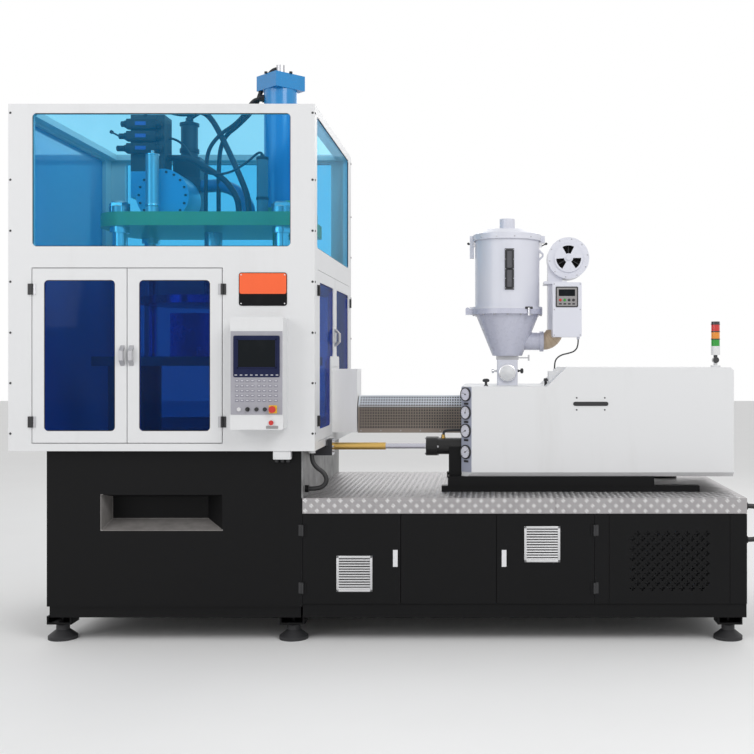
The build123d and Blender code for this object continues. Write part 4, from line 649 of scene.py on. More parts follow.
class Repeat(Nodes):
    """A Geometry Nodes tree that puts one small shape at many spots, each with its own facing."""

    def __init__(self, name, sizes, shape):
        super().__init__(bpy.data.node_groups.new(name + "_repeat", "GeometryNodeTree"))
        sockets = self.tree.interface
        sockets.new_socket("Geometry", in_out="INPUT", socket_type="NodeSocketGeometry")
        sockets.new_socket("Geometry", in_out="OUTPUT", socket_type="NodeSocketGeometry")
        self.keys = {key: sockets.new_socket(key, in_out="INPUT", socket_type="NodeSocketFloat").identifier
                     for key in sizes}
        self.skin = sockets.new_socket("Finish", in_out="INPUT", socket_type="NodeSocketMaterial").identifier
        spots = self.node("NodeGroupInput")
        given = {key: Wire(self, spots.socket.node.outputs[key]) for key in (*sizes, "Finish")}
        turn = None
        for axis, key in (("Z", "facing"), ("X", "along")):
            towards = self.node("GeometryNodeInputNamedAttribute",
                                {"data_type": "FLOAT_VECTOR"}, {"Name": key})
            values = {"Vector": towards} if turn is None else {"Vector": towards, "Rotation": turn}
            turn = self.node("FunctionNodeAlignRotationToVector",
                             {"axis": axis, "pivot_axis": "AUTO" if turn is None else "Z"}, values)
        placed = self.node("GeometryNodeInstanceOnPoints", values={
            "Points": spots, "Instance": shape(self, given), "Rotation": turn})
        real = self.node("GeometryNodeRealizeInstances", values={"Geometry": placed})
        skinned = self.node("GeometryNodeSetMaterial", values={"Geometry": real, "Material": given["Finish"]})
        self.node("NodeGroupOutput", values={"Geometry": skinned}, output=None)


def plant(name, body, finish, spots, sizes, shape):
    """Repeat a shape at spots of (point, facing, along) and make the result one plain piece on a body."""
    points = bpy.data.meshes.new(name + "_spots")
    points.from_pydata([spot[0] for spot in spots], [], [])
    for key, column in (("facing", 1), ("along", 2)):
        layer = points.attributes.new(key, "FLOAT_VECTOR", "POINT")
        layer.data.foreach_set("vector", [c for spot in spots for c in spot[column]])
    holder = bpy.data.objects.new(name + "_spots", points)
    bpy.context.scene.collection.objects.link(holder)
    repeat = Repeat(name, sizes, shape)
    modifier = holder.modifiers.new("Repeat", "NODES")
    modifier.node_group = repeat.tree
    for key, value in sizes.items():
        modifier[repeat.keys[key]] = value
    modifier[repeat.skin] = finish.material
    bpy.context.view_layer.update()
    mesh = bpy.data.meshes.new_from_object(holder.evaluated_get(bpy.context.evaluated_depsgraph_get()))
    holder.modifiers.remove(modifier)
    bpy.data.objects.remove(holder)
    mesh.materials.clear()
    return settle(mesh, name, body, (finish,))


def screw_head(tree, size):
    """A round head with a sloping rim."""
    return tree.node("GeometryNodeMeshCone", values={
        "Vertices": 12, "Radius Bottom": size["Radius"], "Radius Top": size["Radius"] * 0.68,
        "Depth": size["Height"]})


def hexagon_head(tree, size):
    """A bolt's hexagon."""
    return tree.node("GeometryNodeMeshCone", values={
        "Vertices": 6, "Radius Bottom": size["Radius"], "Radius Top": size["Radius"] * 0.9,
        "Depth": size["Height"]})


def tread_rib(tree, size):
    """A raised rib of tread plate, low and pointed at both ends."""
    ball = tree.node("GeometryNodeMeshIcoSphere", values={"Radius": 0.5, "Subdivisions": 1})
    return tree.node("GeometryNodeTransform", values={"Geometry": ball, "Scale": stretched(tree, size)})


def key_cap(tree, size):
    """A key with sloping sides."""
    cap = tree.node("GeometryNodeMeshCone", values={
        "Vertices": 4, "Radius Bottom": 0.707, "Radius Top": 0.6, "Depth": 1.0})
    square = tree.node("GeometryNodeTransform", values={"Geometry": cap, "Rotation": (0, 0, EIGHTH_TURN)})
    return tree.node("GeometryNodeTransform", values={"Geometry": square, "Scale": stretched(tree, size)})


def strip_bar(tree, size):
    """A straight strip of sheet."""
    return tree.node("GeometryNodeMeshCube", values={"Size": stretched(tree, size)})


def stretched(tree, size):
    """The three sizes of a repeated shape as one vector."""
    return tree.node("ShaderNodeCombineXYZ", values={0: size["Length"], 1: size["Width"], 2: size["Height"]})


def sized(long, wide, high):
    """Three sizes in millimetres, for a repeated shape."""
    return {"Length": long * MM, "Width": wide * MM, "Height": high * MM}


def headed(radius, height):
    """A head's sizes in millimetres."""
    return {"Radius": radius * MM, "Height": height * MM}


def steel_heads(name, body, spots, radius, height, shape):
    """Plant steel heads whose radius and height are in millimetres."""
    return plant(name, body, PAINT["steel"], spots, headed(radius, height), shape)


CORNER_STEPS = 5


def rounded(x0, x1, z0, z1, radius, y):
    """The outline of an upright rectangle with rounded corners at a depth, as stations."""
    outline = []
    for centre_x, centre_z, start in ((x1 - radius, z1 - radius, 0), (x0 + radius, z1 - radius, 90),
                                      (x0 + radius, z0 + radius, 180), (x1 - radius, z0 + radius, 270)):
        for i in range(CORNER_STEPS + 1):
            t = math.radians(start + 90 * i / CORNER_STEPS)
            outline.append((centre_x + radius * math.cos(t), y, centre_z + radius * math.sin(t)))
    return outline


def ringed(centre, radius, count, facing, start=0.0):
    """Spots of heads on a circle of millimetres round a station, all facing one way."""
    facing = Vector(facing).normalized()
    across = facing.orthogonal().normalized()
    other = facing.cross(across)
    turns = (start + math.tau * i / count for i in range(count))
    return [(place(*centre) + (across * math.cos(t) + other * math.sin(t)) * radius * MM, facing, across)
            for t in turns]


SCREW_HEIGHTS = (1270, 1573, 1876, 2182, 2488, 2794, 3196)
SCREW_INSET = 13
SCREW_HEAD_SHARE = 0.55


class MACHINE_OT_panel_screws(Operator):
    """Fit the cabinet's panel screws, in columns near its four corners"""

    bl_idname = "machine.panel_screws"
    bl_label = "Panel screws"

    def execute(self, context):
        low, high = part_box("cabinet_lower")
        inset = SCREW_INSET * MM
        spots = []
        for height in SCREW_HEIGHTS:
            for x in (low.x + inset, high.x - inset):
                spots.append(((x, low.y, height * MM), -Y, X))
                spots.append(((x, high.y, height * MM), Y, X))
            for y in (low.y + inset, high.y - inset):
                spots.append(((low.x, y, height * MM), -X, Y))
                spots.append(((high.x, y, height * MM), X, Y))
        radius = context.scene.machine_sizes.screw
        plant("panel_screws", "machine", PAINT["black"], spots,
              {"Radius": radius, "Height": radius * SCREW_HEAD_SHARE}, screw_head)
        return {"FINISHED"}


def seal_loop(shape, low, high, level, flat, radius):
    """Lay a seal round a pane between two corners; flat is the index of the axis across the pane."""
    bend = 5 * radius
    corners = ((low[0], low[1], 1, 1), (high[0], low[1], -1, 1),
               (high[0], high[1], -1, -1), (low[0], high[1], 1, -1))
    route = []
    for i, (u, v, du, dv) in enumerate(corners):
        steps = ((0, dv * bend), (0, 0), (du * bend, 0))
        for step in steps if i % 2 == 0 else steps[::-1]:
            spot = [u + step[0], v + step[1]]
            spot.insert(flat, level)
            route.append(spot)
    shape.pipe(route, radius, closed=True)


class MACHINE_OT_window_seals(Operator):
    """Lay the dark seals round the upper windows and the front doors' panes"""

    bl_idname = "machine.window_seals"
    bl_label = "Window seals"

    def execute(self, context):
        radius = context.scene.machine_sizes.seal / MM
        upper = Shape(PAINT["rubber"])
        for level in (4.5, 1695.5):
            seal_loop(upper, (147, 2396), (1693, 3192), level, 1, radius)
        for level in (4.5, 1835.5):
            seal_loop(upper, (92, 2396), (1540, 3192), level, 0, radius)
        upper.done("upper_window_seals", "machine")
        for name, left, right in (("left", 217, 639), ("right", 788, 1210)):
            leaf = Shape(PAINT["rubber"])
            seal_loop(leaf, (left, 1287), (right, 2190), 4.5, 1, radius)
            leaf.done("front_pane_seal_" + name, "front_" + name + "_leaf")
        return {"FINISHED"}


class MACHINE_OT_blank_plate(Operator):
    """Screw the blank two-colour plate to the cabinet beside the doors"""

    bl_idname = "machine.blank_plate"
    bl_label = "Blank plate"

    def execute(self, context):
        plate = Shape(PAINT["gloss_black"], PAINT["orange"])
        plate.prism(rounded(1385, 1674, 2037, 2237, 16, 0), -Y, 3)
        plate.use(1).prism(rounded(1389, 1670, 2109, 2233, 12, -2.5), -Y, 1.2)
        plate.done("blank_plate", "machine")
        spots = [(place(x, -3.4, z), -Y, X) for x in (1399, 1660) for z in (2051, 2223)]
        plant("plate_screws", "machine", PAINT["chrome"], spots, headed(5.5, 3), screw_head)
        return {"FINISHED"}


KEY_ROWS = (1588.5, 1559, 1530, 1502, 1473.5)
KEY_COLUMNS = (1407, 1437, 1468, 1498, 1537, 1567, 1602, 1635)
LEGENDS, LEGEND_PITCH = 9, 30.2
KEY_WIDTH_SHARE = 0.62
KEY_HEIGHT = 0.0016


class MACHINE_OT_operator_panel(Operator):
    """Dress the operator box: bezel, screen, keypad, blank legends and the low button's plate"""

    bl_idname = "machine.operator_panel"
    bl_label = "Operator panel"

    def execute(self, context):
        panel = Shape(PAINT["navy"], PAINT["screen"], PAINT["grey"])
        panel.prism(rounded(1385.5, 1657.5, 1611, 1855, 9, -143), -Y, 4)
        for x0, x1, z0, z1 in ((1406, 1414, 1662, 1837), (1632, 1640, 1662, 1837), (1406, 1640, 1829, 1837),
                               (1406, 1640, 1662, 1670)):
            panel.box((x0, -150, z0), (x1, -146.5, z1), 1.4)
        panel.use(1).prism(rounded(1413, 1633, 1669, 1830, 4, -147), -Y, 1)
        panel.use(2).prism(rounded(1577, 1648, 1308, 1325, 3, -140), -Y, 2)
        panel.done("operator_screen", "machine")
        sizes = context.scene.machine_sizes
        rows = KEY_ROWS[:sizes.key_rows]
        keys = [(place(x, -143.4, z), -Y, X) for z in rows for x in KEY_COLUMNS]
        plant("operator_keys", "machine", PAINT["key"], keys,
              {"Length": sizes.key, "Width": sizes.key * KEY_WIDTH_SHARE, "Height": KEY_HEIGHT}, key_cap)
        marks = [(place(x, -144.5, z + 1.5), -Y, X) for z in rows for x in KEY_COLUMNS]
        marks += [(place(1401 + LEGEND_PITCH * i, -147.4, 1623.5), -Y, X) for i in range(LEGENDS)]
        plant("operator_legends", "machine", PAINT["legend"], marks,
              sized(15, 4.2, 0.7), key_cap)
        return {"FINISHED"}


TREAD_BARS = 3
TREAD_GAP = 0.2
TREAD_WIDTH, TREAD_HEIGHT = 0.0045, 0.0032
SKIRT_ROWS = 3
SLED_NOSE = 0.3


class MACHINE_OT_tread(Operator):
    """Raise the bars of the deck's chequer plates and of their front skirt"""

    bl_idname = "machine.tread"
    bl_label = "Tread bars"

    def execute(self, context):
        sizes = context.scene.machine_sizes
        low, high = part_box("deck_plates")
        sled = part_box("sled")
        pitch = sizes.tread_pitch
        columns, rows = int((high.x - low.x) / pitch), int((high.y - low.y) / pitch)
        top, skirt = ([], []), ([], [])
        for i in range(columns):
            for j in range(rows):
                middle = Vector((low.x + (i + 0.5) * pitch, low.y + (j + 0.6) * pitch, high.z))
                hidden = sled[0].x + SLED_NOSE < middle.x and sled[0].y < middle.y < sled[1].y
                if not hidden and middle.x < high.x - pitch / 2:
                    top[(i + j) % 2].extend(self.group(middle, (i + j) % 2, Y, Z, pitch))
            for j in range(SKIRT_ROWS):
                fall = (high.z - low.z) * (j + 0.5) / SKIRT_ROWS
                middle = Vector((low.x + (i + 0.5) * pitch, low.y, high.z - fall))
                skirt[(i + j) % 2].extend(self.group(middle, (i + j) % 2, Z, -Y, pitch))
        bar = {"Length": sizes.tread_bar, "Width": TREAD_WIDTH, "Height": TREAD_HEIGHT}
        # The first kind of bar carries the painted glint, the second the plain tone
        for kind, paint in enumerate(("tread", "tread_dull")):
            for name, spots in (("deck_" + paint, top[kind]), ("deck_skirt_" + paint, skirt[kind])):
                plant(name, "machine", PAINT[paint], spots, bar, tread_rib)
        return {"FINISHED"}

    def group(self, middle, turned, other, facing, pitch):
        """Spots of a few bars side by side, on one slant or, turned, on the other."""
        along = (X + other if turned else X - other).normalized()
        side = facing.cross(along)
        return [(middle + side * (k - (TREAD_BARS - 1) / 2) * pitch * TREAD_GAP, facing, along)
                for k in range(TREAD_BARS)]


VENTS = (("deck_vent_left", "deck_left_leaf", 1962, 309), ("deck_vent_right", "deck_right_leaf", 3099, 488))
VENT_SIZE = 218
VENT_RIM = 15
VENT_SCREW = 7.5
SLATS = 12
SLAT_TILT = math.radians(38)


class MACHINE_OT_vents(Operator):
    """Fit the framed louvres to the two deck doors"""

    bl_idname = "machine.vents"
    bl_label = "Louvre vents"

    def execute(self, context):
        outward = (0, -math.cos(SLAT_TILT), math.sin(SLAT_TILT))
        for name, body, left, low in VENTS:
            right, high = left + VENT_SIZE, low + VENT_SIZE
            rim = Shape(PAINT["silver"])
            for x0, x1, z0, z1 in ((left, left + VENT_RIM, low, high), (right - VENT_RIM, right, low, high),
                                   (left, right, low, low + VENT_RIM), (left, right, high - VENT_RIM, high)):
                rim.box((x0, 53, z0), (x1, 64, z1), 2, 2)
            rim.done(name + "_rim", body)
            step = (VENT_SIZE - 2 * VENT_RIM) / SLATS
            spots = [(place((left + right) / 2, 60, low + VENT_RIM + step * (i + 0.5)), outward, X)
                     for i in range(SLATS)]
            plant(name + "_slats", body, PAINT["silver"], spots,
                  sized(VENT_SIZE - 2 * VENT_RIM + 4, step * 1.1, 1.4), strip_bar)
            screws = [(place(x, 52.6, z), -Y, X) for x in (left + VENT_SCREW, right - VENT_SCREW)
                      for z in (low + VENT_SCREW, high - VENT_SCREW)]
            steel_heads(name + "_screws", body, screws, 3.6, 2, screw_head)
        return {"FINISHED"}


FEET = [(x, y) for x in (263, 1684, 4357) for y in (170, 1530)]
FOOT_NUTS = (0.62, 0.9)


class MACHINE_OT_base_fittings(Operator):
    """Fit the foot nuts, the filter mat behind the perforated panel and the box under the cabinet's corner"""

    bl_idname = "machine.base_fittings"
    bl_label = "Base fittings"

    def execute(self, context):
        low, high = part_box("foot_pads")
        nuts = [(place(x, y, 0) + Z * (high.z - low.z) * share, Z, X) for x, y in FEET for share in FOOT_NUTS]
        plant("foot_nuts", "machine", PAINT["steel"], nuts, headed(26, 16), hexagon_head)
        mat = Shape(PAINT["rubber"])
        mat.box((3625, 84, 245), (4335, 92, 768), 2)
        mat.done("filter_mat", "machine")
        box = Shape(PAINT["white"], PAINT["black"])
        box.box((1587, 8, 1113), (1694, 56, 1164.6), 4, 2)
        box.use(1)
        for x in (1606, 1640, 1674):
            box.turned((x, 32, 1113.5), -Z, [(9, 0), (9, 6), (11, 6), (11, 15), (7, 19), (5, 19)], 16)
        box.done("junction_box", "machine")
        return {"FINISHED"}


GAUGE_HEIGHTS = (1494.2, 1378.4, 1262.6, 1127.9)
GAUGE_FRONT = (2734.3, 383.3)
GAUGE_TURNS = (-70, 20, -115, 60)
GAUGE_MARKS = 11
DIAL_START, DIAL_SWEEP = -135, 270
MARK_RADIUS = 31.5
TAG_DEPTH = -8.6
OUT = Vector((-1, -1, 0)).normalized()
ASIDE = Vector((1, -1, 0)).normalized()


def on_strip(height, across, up, out):
    """A station on the gauge strip, in millimetres across, up and out from a gauge's middle."""
    spot = Vector((*GAUGE_FRONT, height)) + ASIDE * across + Z * up + OUT * out
    return tuple(spot)


class MACHINE_OT_gauges(Operator):
    """Fit bezels, dials, needles, marks and blank tags to the four gauges"""

    bl_idname = "machine.gauges"
    bl_label = "Gauges"

    def execute(self, context):
        gauge = Shape(PAINT["black"], PAINT["dial"])
        marks = []
        for height, turn in zip(GAUGE_HEIGHTS, GAUGE_TURNS):
            middle = on_strip(height, 0, 0, 0)
            gauge.use(0).turned(middle, OUT,
                                [(42.4, -9), (45, -7), (45, 2), (42.6, 4.6), (38.6, 3.2), (37.6, 0.5)], 40)
            gauge.use(1).turned(middle, OUT, [(37.8, 0.3), (37.8, 0.9)], 40)
            gauge.use(0).turned(middle, OUT, [(5, 0.5), (5, 3), (3, 3.6)], 16)
            t = math.radians(turn)
            tip, side = (math.sin(t), math.cos(t)), (math.cos(t), -math.sin(t))
            outline = [on_strip(height, tip[0] * far + side[0] * wide, tip[1] * far + side[1] * wide, 1.2)
                       for far, wide in ((-9, -1.6), (28, -0.6), (28, 0.6), (-9, 1.6))]
            gauge.prism(outline, OUT, 0.8)
            tag = [on_strip(height, x, z, TAG_DEPTH)
                   for x, z in ((-20, -66), (20, -66), (20, -53), (-20, -53))]
            gauge.prism(tag, OUT, 1.2)
            for i in range(GAUGE_MARKS):
                t = math.radians(DIAL_START + DIAL_SWEEP * i / (GAUGE_MARKS - 1))
                spot = on_strip(height, MARK_RADIUS * math.sin(t), MARK_RADIUS * math.cos(t), 0.9)
                marks.append((place(*spot), OUT, ASIDE * math.sin(t) + Z * math.cos(t)))
        gauge.done("gauges", "carriage")
        plant("gauge_marks", "carriage", PAINT["black"], marks,
              sized(6.5, 1.5, 0.5), strip_bar)
        return {"FINISHED"}


class MACHINE_OT_cover_fittings(Operator):
    """Fit the slot handle, the T handle, the knob and the screws of the injection cover"""

    bl_idname = "machine.cover_fittings"
    bl_label = "Cover fittings"

    def execute(self, context):
        fit = Shape(PAINT["black"], PAINT["chrome"])
        fit.prism(rounded(3419, 3641, 1422, 1448, 12, 360), -Y, 3)
        fit.prism(rounded(3431, 3629, 1428, 1442, 6.5, 357.5), -Y, 3.5)
        fit.turned((3259, 650, 1543.6), Z, [(9, 0), (9, 30), (13, 32), (13, 46), (8, 50)], 20)
        fit.turned((3259, 600, 1583), Y, [(6, 0), (8, 3), (8, 97), (6, 100)], 16)
        fit.turned((2866, 470, 1543.6), Z,
                   [(13, 0), (13, 8), (8, 10), (8, 26), (21, 30), (23, 40), (16, 48), (5, 50)], 24)
        fit.use(1).turned((2866, 470, 1543.6), Z, [(18, 0), (18, 3), (14, 4)], 24)
        fit.done("cover_handles", "carriage")
        spots = [(place(x, 360, z), -Y, X) for x in (3441, 3619) for z in (1397, 1473)]
        spots += [(place(4437, y, z), X, Y) for y in (380, 850, 1320) for z in (1000, 1330, 1640)]
        plant("cover_screws", "carriage", PAINT["black"], spots, headed(5.2, 3), screw_head)
        return {"FINISHED"}


GUARD = {"left": 2011, "right": 2711, "low": 1228, "brim": 1258, "shoulder": 1405, "top": 1471}
GUARD_SIDES = ((730, 796, -1), (970, 904, 1))
GUARD_SLOPE = 66
GUARD_END = 9
GABLE = 8
GUARD_SCREWS = {"count": 6, "inset": 20, "height": 1242}
RIDGES = 4


class MACHINE_OT_barrel_guard(Operator):
    """Build the perforated barrel guard from its webs, hem, crown and end frames, with a dark sheet behind
    the holes as painted shade
    """

    bl_idname = "machine.barrel_guard"
    bl_label = "Barrel guard"

    def execute(self, context):
        sizes = context.scene.machine_sizes
        pitch, web = sizes.guard_pitch / MM, sizes.guard_web / MM
        left, right, low = GUARD["left"], GUARD["right"], GUARD["low"]
        brim, shoulder, top = GUARD["brim"], GUARD["shoulder"], GUARD["top"]
        middle, span = (left + right) / 2, right - left
        sheet = Shape(PAINT["guard"], PAINT["guard_painted_highlight"], PAINT["rubber"])
        sides = []
        for edge, crown, outward in GUARD_SIDES:
            inner = edge - outward * 3
            sheet.use(0).box((left, min(edge, inner), low), (right, max(edge, inner), brim), 0.6)
            for x0, x1 in ((left, left + GUARD_END), (right - GUARD_END, right)):
                sheet.box((x0, min(edge, inner), brim), (x1, max(edge, inner), shoulder), 0.6)
            sides.append((edge - outward * 1.5, crown, outward))
            # A dark sheet just behind the holes, so that they read dark: painted shade inside the guard
            shade_sheet = [(left + GUARD_END, edge - outward * a, b) for a, b in (
                (5, brim), (5, shoulder - 2), (GUARD_SLOPE, top - 6), (GUARD_SLOPE, top - 8),
                (7, shoulder - 3), (7, brim))]
            sheet.use(2).prism(shade_sheet, X, span - 2 * GUARD_END)
        (_, front_crown, _), (_, rear_crown, _) = GUARD_SIDES
        # The crown and the end gables take the painted highlight of the guard's top
        sheet.use(1).box((left, front_crown, top - 3), (right, rear_crown, top), 0.6)
        for x0, x1 in ((left, left + GABLE), (right - GABLE, right)):
            for edge, crown, _ in GUARD_SIDES:
                outline = [(x0, edge, shoulder), (x0, crown, top), (x0, crown, top - 4),
                           (x0, edge + (crown - edge) * 0.06, shoulder - 4)]
                sheet.prism(outline, X, x1 - x0)
        guard = sheet.done("barrel_guard_sheet", "carriage")
        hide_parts("barrel_guard")
        columns = int(span / pitch)
        stations = [left + span * (i + 0.5) / columns for i in range(columns)]
        upright, level, slope, ridge = [], [], [], []
        for edge, crown, outward in sides:
            facing = Y * outward
            tilted = (Y * outward + Z).normalized()
            rise = (Y * -outward + Z).normalized()
            upright += [(place(x, edge, (brim + shoulder) / 2), facing, Z) for x in stations]
            rows = int((shoulder - brim) / pitch)
            level += [(place(middle, edge, brim + (shoulder - brim) * i / rows), facing, X)
                      for i in range(1, rows + 1)]
            slope += [(place(x, (edge + crown) / 2, (shoulder + top) / 2), tilted, rise) for x in stations]
            for i in range(RIDGES + 1):
                share = i / RIDGES
                spot = place(middle, edge + (crown - edge) * share, shoulder + (top - shoulder) * share - 1.5)
                ridge.append((spot, tilted, X))
        tall, deep = shoulder - brim, math.hypot(top - shoulder, GUARD_SLOPE)
        # The slopes and ridges of the top take the painted highlight, the uprights and levels the sheet's
        # brown
        for name, paint, spots, long in (
                ("guard_uprights", "guard", upright, tall), ("guard_levels", "guard", level, span),
                ("guard_slopes", "guard_painted_highlight", slope, deep), ("guard_ridges", "guard_painted_highlight", ridge, span)):
            plant(name, "carriage", PAINT[paint], spots, sized(long, web, 2.4), strip_bar)
        inset, count = GUARD_SCREWS["inset"], GUARD_SCREWS["count"]
        rail = [left + inset + (span - 2 * inset) * i / (count - 1) for i in range(count)]
        screws = [(place(x, GUARD_SIDES[0][0], GUARD_SCREWS["height"]), -Y, X) for x in rail]
        steel_heads("guard_screws", "carriage", screws, 5, 3, screw_head)
        return {"FINISHED"}


class MACHINE_OT_cylinder_fittings(Operator):
    """Fit the nuts, ports and oil pipe of the carriage cylinder and the rod's lock nuts"""

    bl_idname = "machine.cylinder_fittings"
    bl_label = "Cylinder fittings"

    def execute(self, context):
        oil = Shape(PAINT["iron"], PAINT["brass"])
        oil.pipe(((2590, 490, 1210), (2590, 490, 1246), (2610, 490, 1262), (2800, 490, 1262),
                  (2900, 490, 1262), (2926, 490, 1246), (2926, 490, 1208)), 8)
        oil.use(1)
        for x in (2590, 2926):
            oil.turned((x, 490, 1205), Z, [(15, 0), (15, 12), (12, 13), (12, 26), (9, 28)], 6)
        oil.done("cylinder_pipe", "carriage")
        nuts = ringed((2481, 490, 1158), 50, 4, -X, EIGHTH_TURN)
        nuts += ringed((2554, 490, 1158), 55, 4, X, EIGHTH_TURN)
        steel_heads("cylinder_nuts", "carriage", nuts, 7, 9, hexagon_head)
        locks = ringed((1881, 490, 1158), 36, 4, X, EIGHTH_TURN)
        steel_heads("rod_nuts", "machine", locks, 7, 8, hexagon_head)
        return {"FINISHED"}


HOPPER_AXIS = (3009, 850)
LID_SCREWS = {"radius": 232, "count": 12, "height": 2531, "start": 0.2}
CONE_BOLTS = {"radius": 228, "count": 16, "height": 2020, "start": 0.0}


def round_hopper(radius, count, height, start):
    """Points round the hopper's axis at a height, each with its direction outward."""
    found = []
    for t in (math.tau * i / count + start for i in range(count)):
        out = Vector((math.cos(t), math.sin(t), 0))
        found.append((place(HOPPER_AXIS[0] + radius * out.x, HOPPER_AXIS[1] + radius * out.y, height), out))
    return found


class MACHINE_OT_drum_fittings(Operator):
    """Fit the drum's sight glasses, its latches and the screws of its lid"""

    bl_idname = "machine.drum_fittings"
    bl_label = "Drum fittings"

    def execute(self, context):
        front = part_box("hopper_drum")[0].y / MM - CORNER.y / MM
        drum = Shape(PAINT["sight"], PAINT["chrome"], PAINT["iron"])
        for low, high in ((2192, 2306), (2318, 2432)):
            drum.use(0).prism(rounded(3003, 3037, low, high, 8, front + 2), -Y, 3)
            drum.use(2)
            for x0, x1, z0, z1 in ((3000, 3004, low, high), (3036, 3040, low, high),
                                   (3000, 3040, low - 3, low + 1), (3000, 3040, high - 1, high + 3)):
                drum.box((x0, front - 3.5, z0), (x1, front + 2, z1), 0.8)
        for x, lean in ((2782, -1), (3236, 1)):
            drum.use(1).box((x - 7, 838, 2478), (x + 7, 862, 2536), 2)
            drum.turned((x + lean * 4, 832, 2530), Y, [(5, 0), (6, 2), (6, 34), (5, 36)], 12)
            drum.use(2).turned((x + lean * 5, 850, 2486), Vector((lean, 0, 0.5)),
                               [(4, 0), (4, 26), (8, 30), (8, 40), (4, 44)], 12)
        drum.done("drum_fittings", "drying_drum")
        spots = [(place(x, front, z), -Y, X) for x in (2994, 3046) for z in (2186, 2250, 2312, 2376, 2438)]
        steel_heads("sight_screws", "drying_drum", spots, 3.4, 2.4, screw_head)
        lid = [(spot, out, Z) for spot, out in round_hopper(**LID_SCREWS)]
        steel_heads("lid_screws", "drying_drum", lid, 5, 4, screw_head)
        return {"FINISHED"}


ELBOW_RINGS = (0.12, 0.31, 0.5, 0.69, 0.88)
ELBOW_BEND = 76


class MACHINE_OT_hopper_fittings(Operator):
    """Fit the cone's rim bolts and clamp, the throat's round cover, its knobs and the elbow's rings"""

    bl_idname = "machine.hopper_fittings"
    bl_label = "Hopper fittings"

    def execute(self, context):
        bolts = [(spot, -Z, X) for spot, _ in round_hopper(**CONE_BOLTS)]
        steel_heads("cone_bolts", "carriage", bolts, 7, 9, hexagon_head)
        throat = Shape(PAINT["black"], PAINT["white"], PAINT["chrome"], PAINT["beige"])
        throat.use(2).turned((3009, 769.4, 1625), -Y, [(57, -3), (57, 1.5), (54, 3), (48, 3), (47, 1)], 40)
        throat.use(1).turned((3009, 769, 1625), -Y,
                             [(47.5, 0), (47.5, 4), (44, 6), (14, 6), (12, 7.5), (6, 7.5)], 40)
        throat.use(2).turned((2940.5, 850, 1640), -X,
                             [(9, 0), (9, 10), (6, 12), (6, 20), (15, 22), (16, 34), (10, 38)], 20)
        throat.use(0).turned((3077.5, 850, 1640), X,
                             [(9, 0), (9, 10), (6, 12), (6, 20), (17, 22), (18, 36), (11, 41)], 20)
        throat.use(2).turned((3149, 644, 2012), Z, [(7, -6), (7, 36), (10, 38), (10, 46), (6, 48)], 16)
        throat.use(0).turned((3124, 644, 2058), X, [(6, 0), (8, 3), (8, 47), (6, 50)], 16)
        throat.use(2).box((3139, 640, 2008), (3159, 662, 2018), 2)
        throat.use(3)
        for share in ELBOW_RINGS:
            t = share * math.pi / 2
            along = Vector((math.cos(t), 0, math.sin(t)))
            spot = Vector((3254 + ELBOW_BEND * math.sin(t), 850, 1917 - ELBOW_BEND * math.cos(t)))
            throat.turned(tuple(spot - along * 3), along, [(53, 0), (59.5, 1), (59.5, 5), (53, 6)], 32)
        throat.done("hopper_fittings", "carriage")
        return {"FINISHED"}


DRYER_LAMPS = (3, 4, 0, 0)
DRYER_PITCH = 29


class MACHINE_OT_dryer_controls(Operator):
    """Dress the dryer's control box and blower: display, keys, lamps and screws"""

    bl_idname = "machine.dryer_controls"
    bl_label = "Dryer controls"

    def execute(self, context):
        desk = Shape(*(PAINT[key] for key in ("black", "grey", "screen", "red", "green_lamp")))
        desk.prism(rounded(3322, 3469, 2059, 2194, 8, 597.4), -Y, 3)
        desk.use(1).prism(rounded(3330, 3461, 2067, 2186, 5, 595), -Y, 2)
        desk.use(2).prism(rounded(3342, 3449, 2132, 2176, 3, 593.5), -Y, 1.2)
        for i, lamp in enumerate(DRYER_LAMPS):
            x = 3352 + DRYER_PITCH * i
            desk.use(lamp).turned((x, 593.4, 2106), -Y, [(9, 0), (9, 2.5), (7.5, 4.5)], 18)
            desk.use(0).box((x - 8, 592.3, 2076), (x + 10, 593.6, 2086), 0.5)
        desk.done("dryer_controls", "carriage")
        spots = [(place(x, 597, z), -Y, X) for x in (3313, 3483) for z in (1877, 2044, 2211)]
        spots += ringed((3418, 755, 2397), 128, 10, -Y)
        steel_heads("dryer_screws", "carriage", spots, 4.6, 3, screw_head)
        return {"FINISHED"}


PLATEN_NUT = 57
DUCT_RADIUS = 44
PRESS_PIPES = (
    (((832, 925, 3360), (832, 925, 3400), (880, 900, 3420), (990, 850, 3380), (1120, 760, 3160),
      (1230, 690, 2940), (1290, 660, 2800), (1300, 655, 2700), (1300, 655, 2660)), 20),
    (((747, 720, 3060), (800, 720, 3060), (900, 710, 3058), (1010, 690, 2990), (1150, 670, 2900),
      (1225, 655, 2780), (1235, 650, 2700), (1235, 650, 2660)), 20),
    (((905, 900, 2900), (960, 900, 2900), (1060, 880, 2905), (1180, 840, 2860), (1260, 800, 2760),
      (1270, 795, 2700), (1270, 795, 2660)), DUCT_RADIUS),
    (((747, 760, 3200), (830, 770, 3190), (960, 700, 2960), (1150, 640, 2930), (1300, 610, 3010),
      (1370, 600, 3075), (1400, 600, 3070), (1400, 600, 3050)), 8),
    (((620, 640, 3320), (620, 640, 3350), (700, 620, 3372), (820, 640, 3330), (900, 690, 3340),
      (960, 760, 3376), (900, 860, 3380), (850, 920, 3372)), 11),
)
FLANGE_BOLTS = {"x": 763, "y": 535, "z": 2784, "radius": 152, "count": 18, "above": 2680}


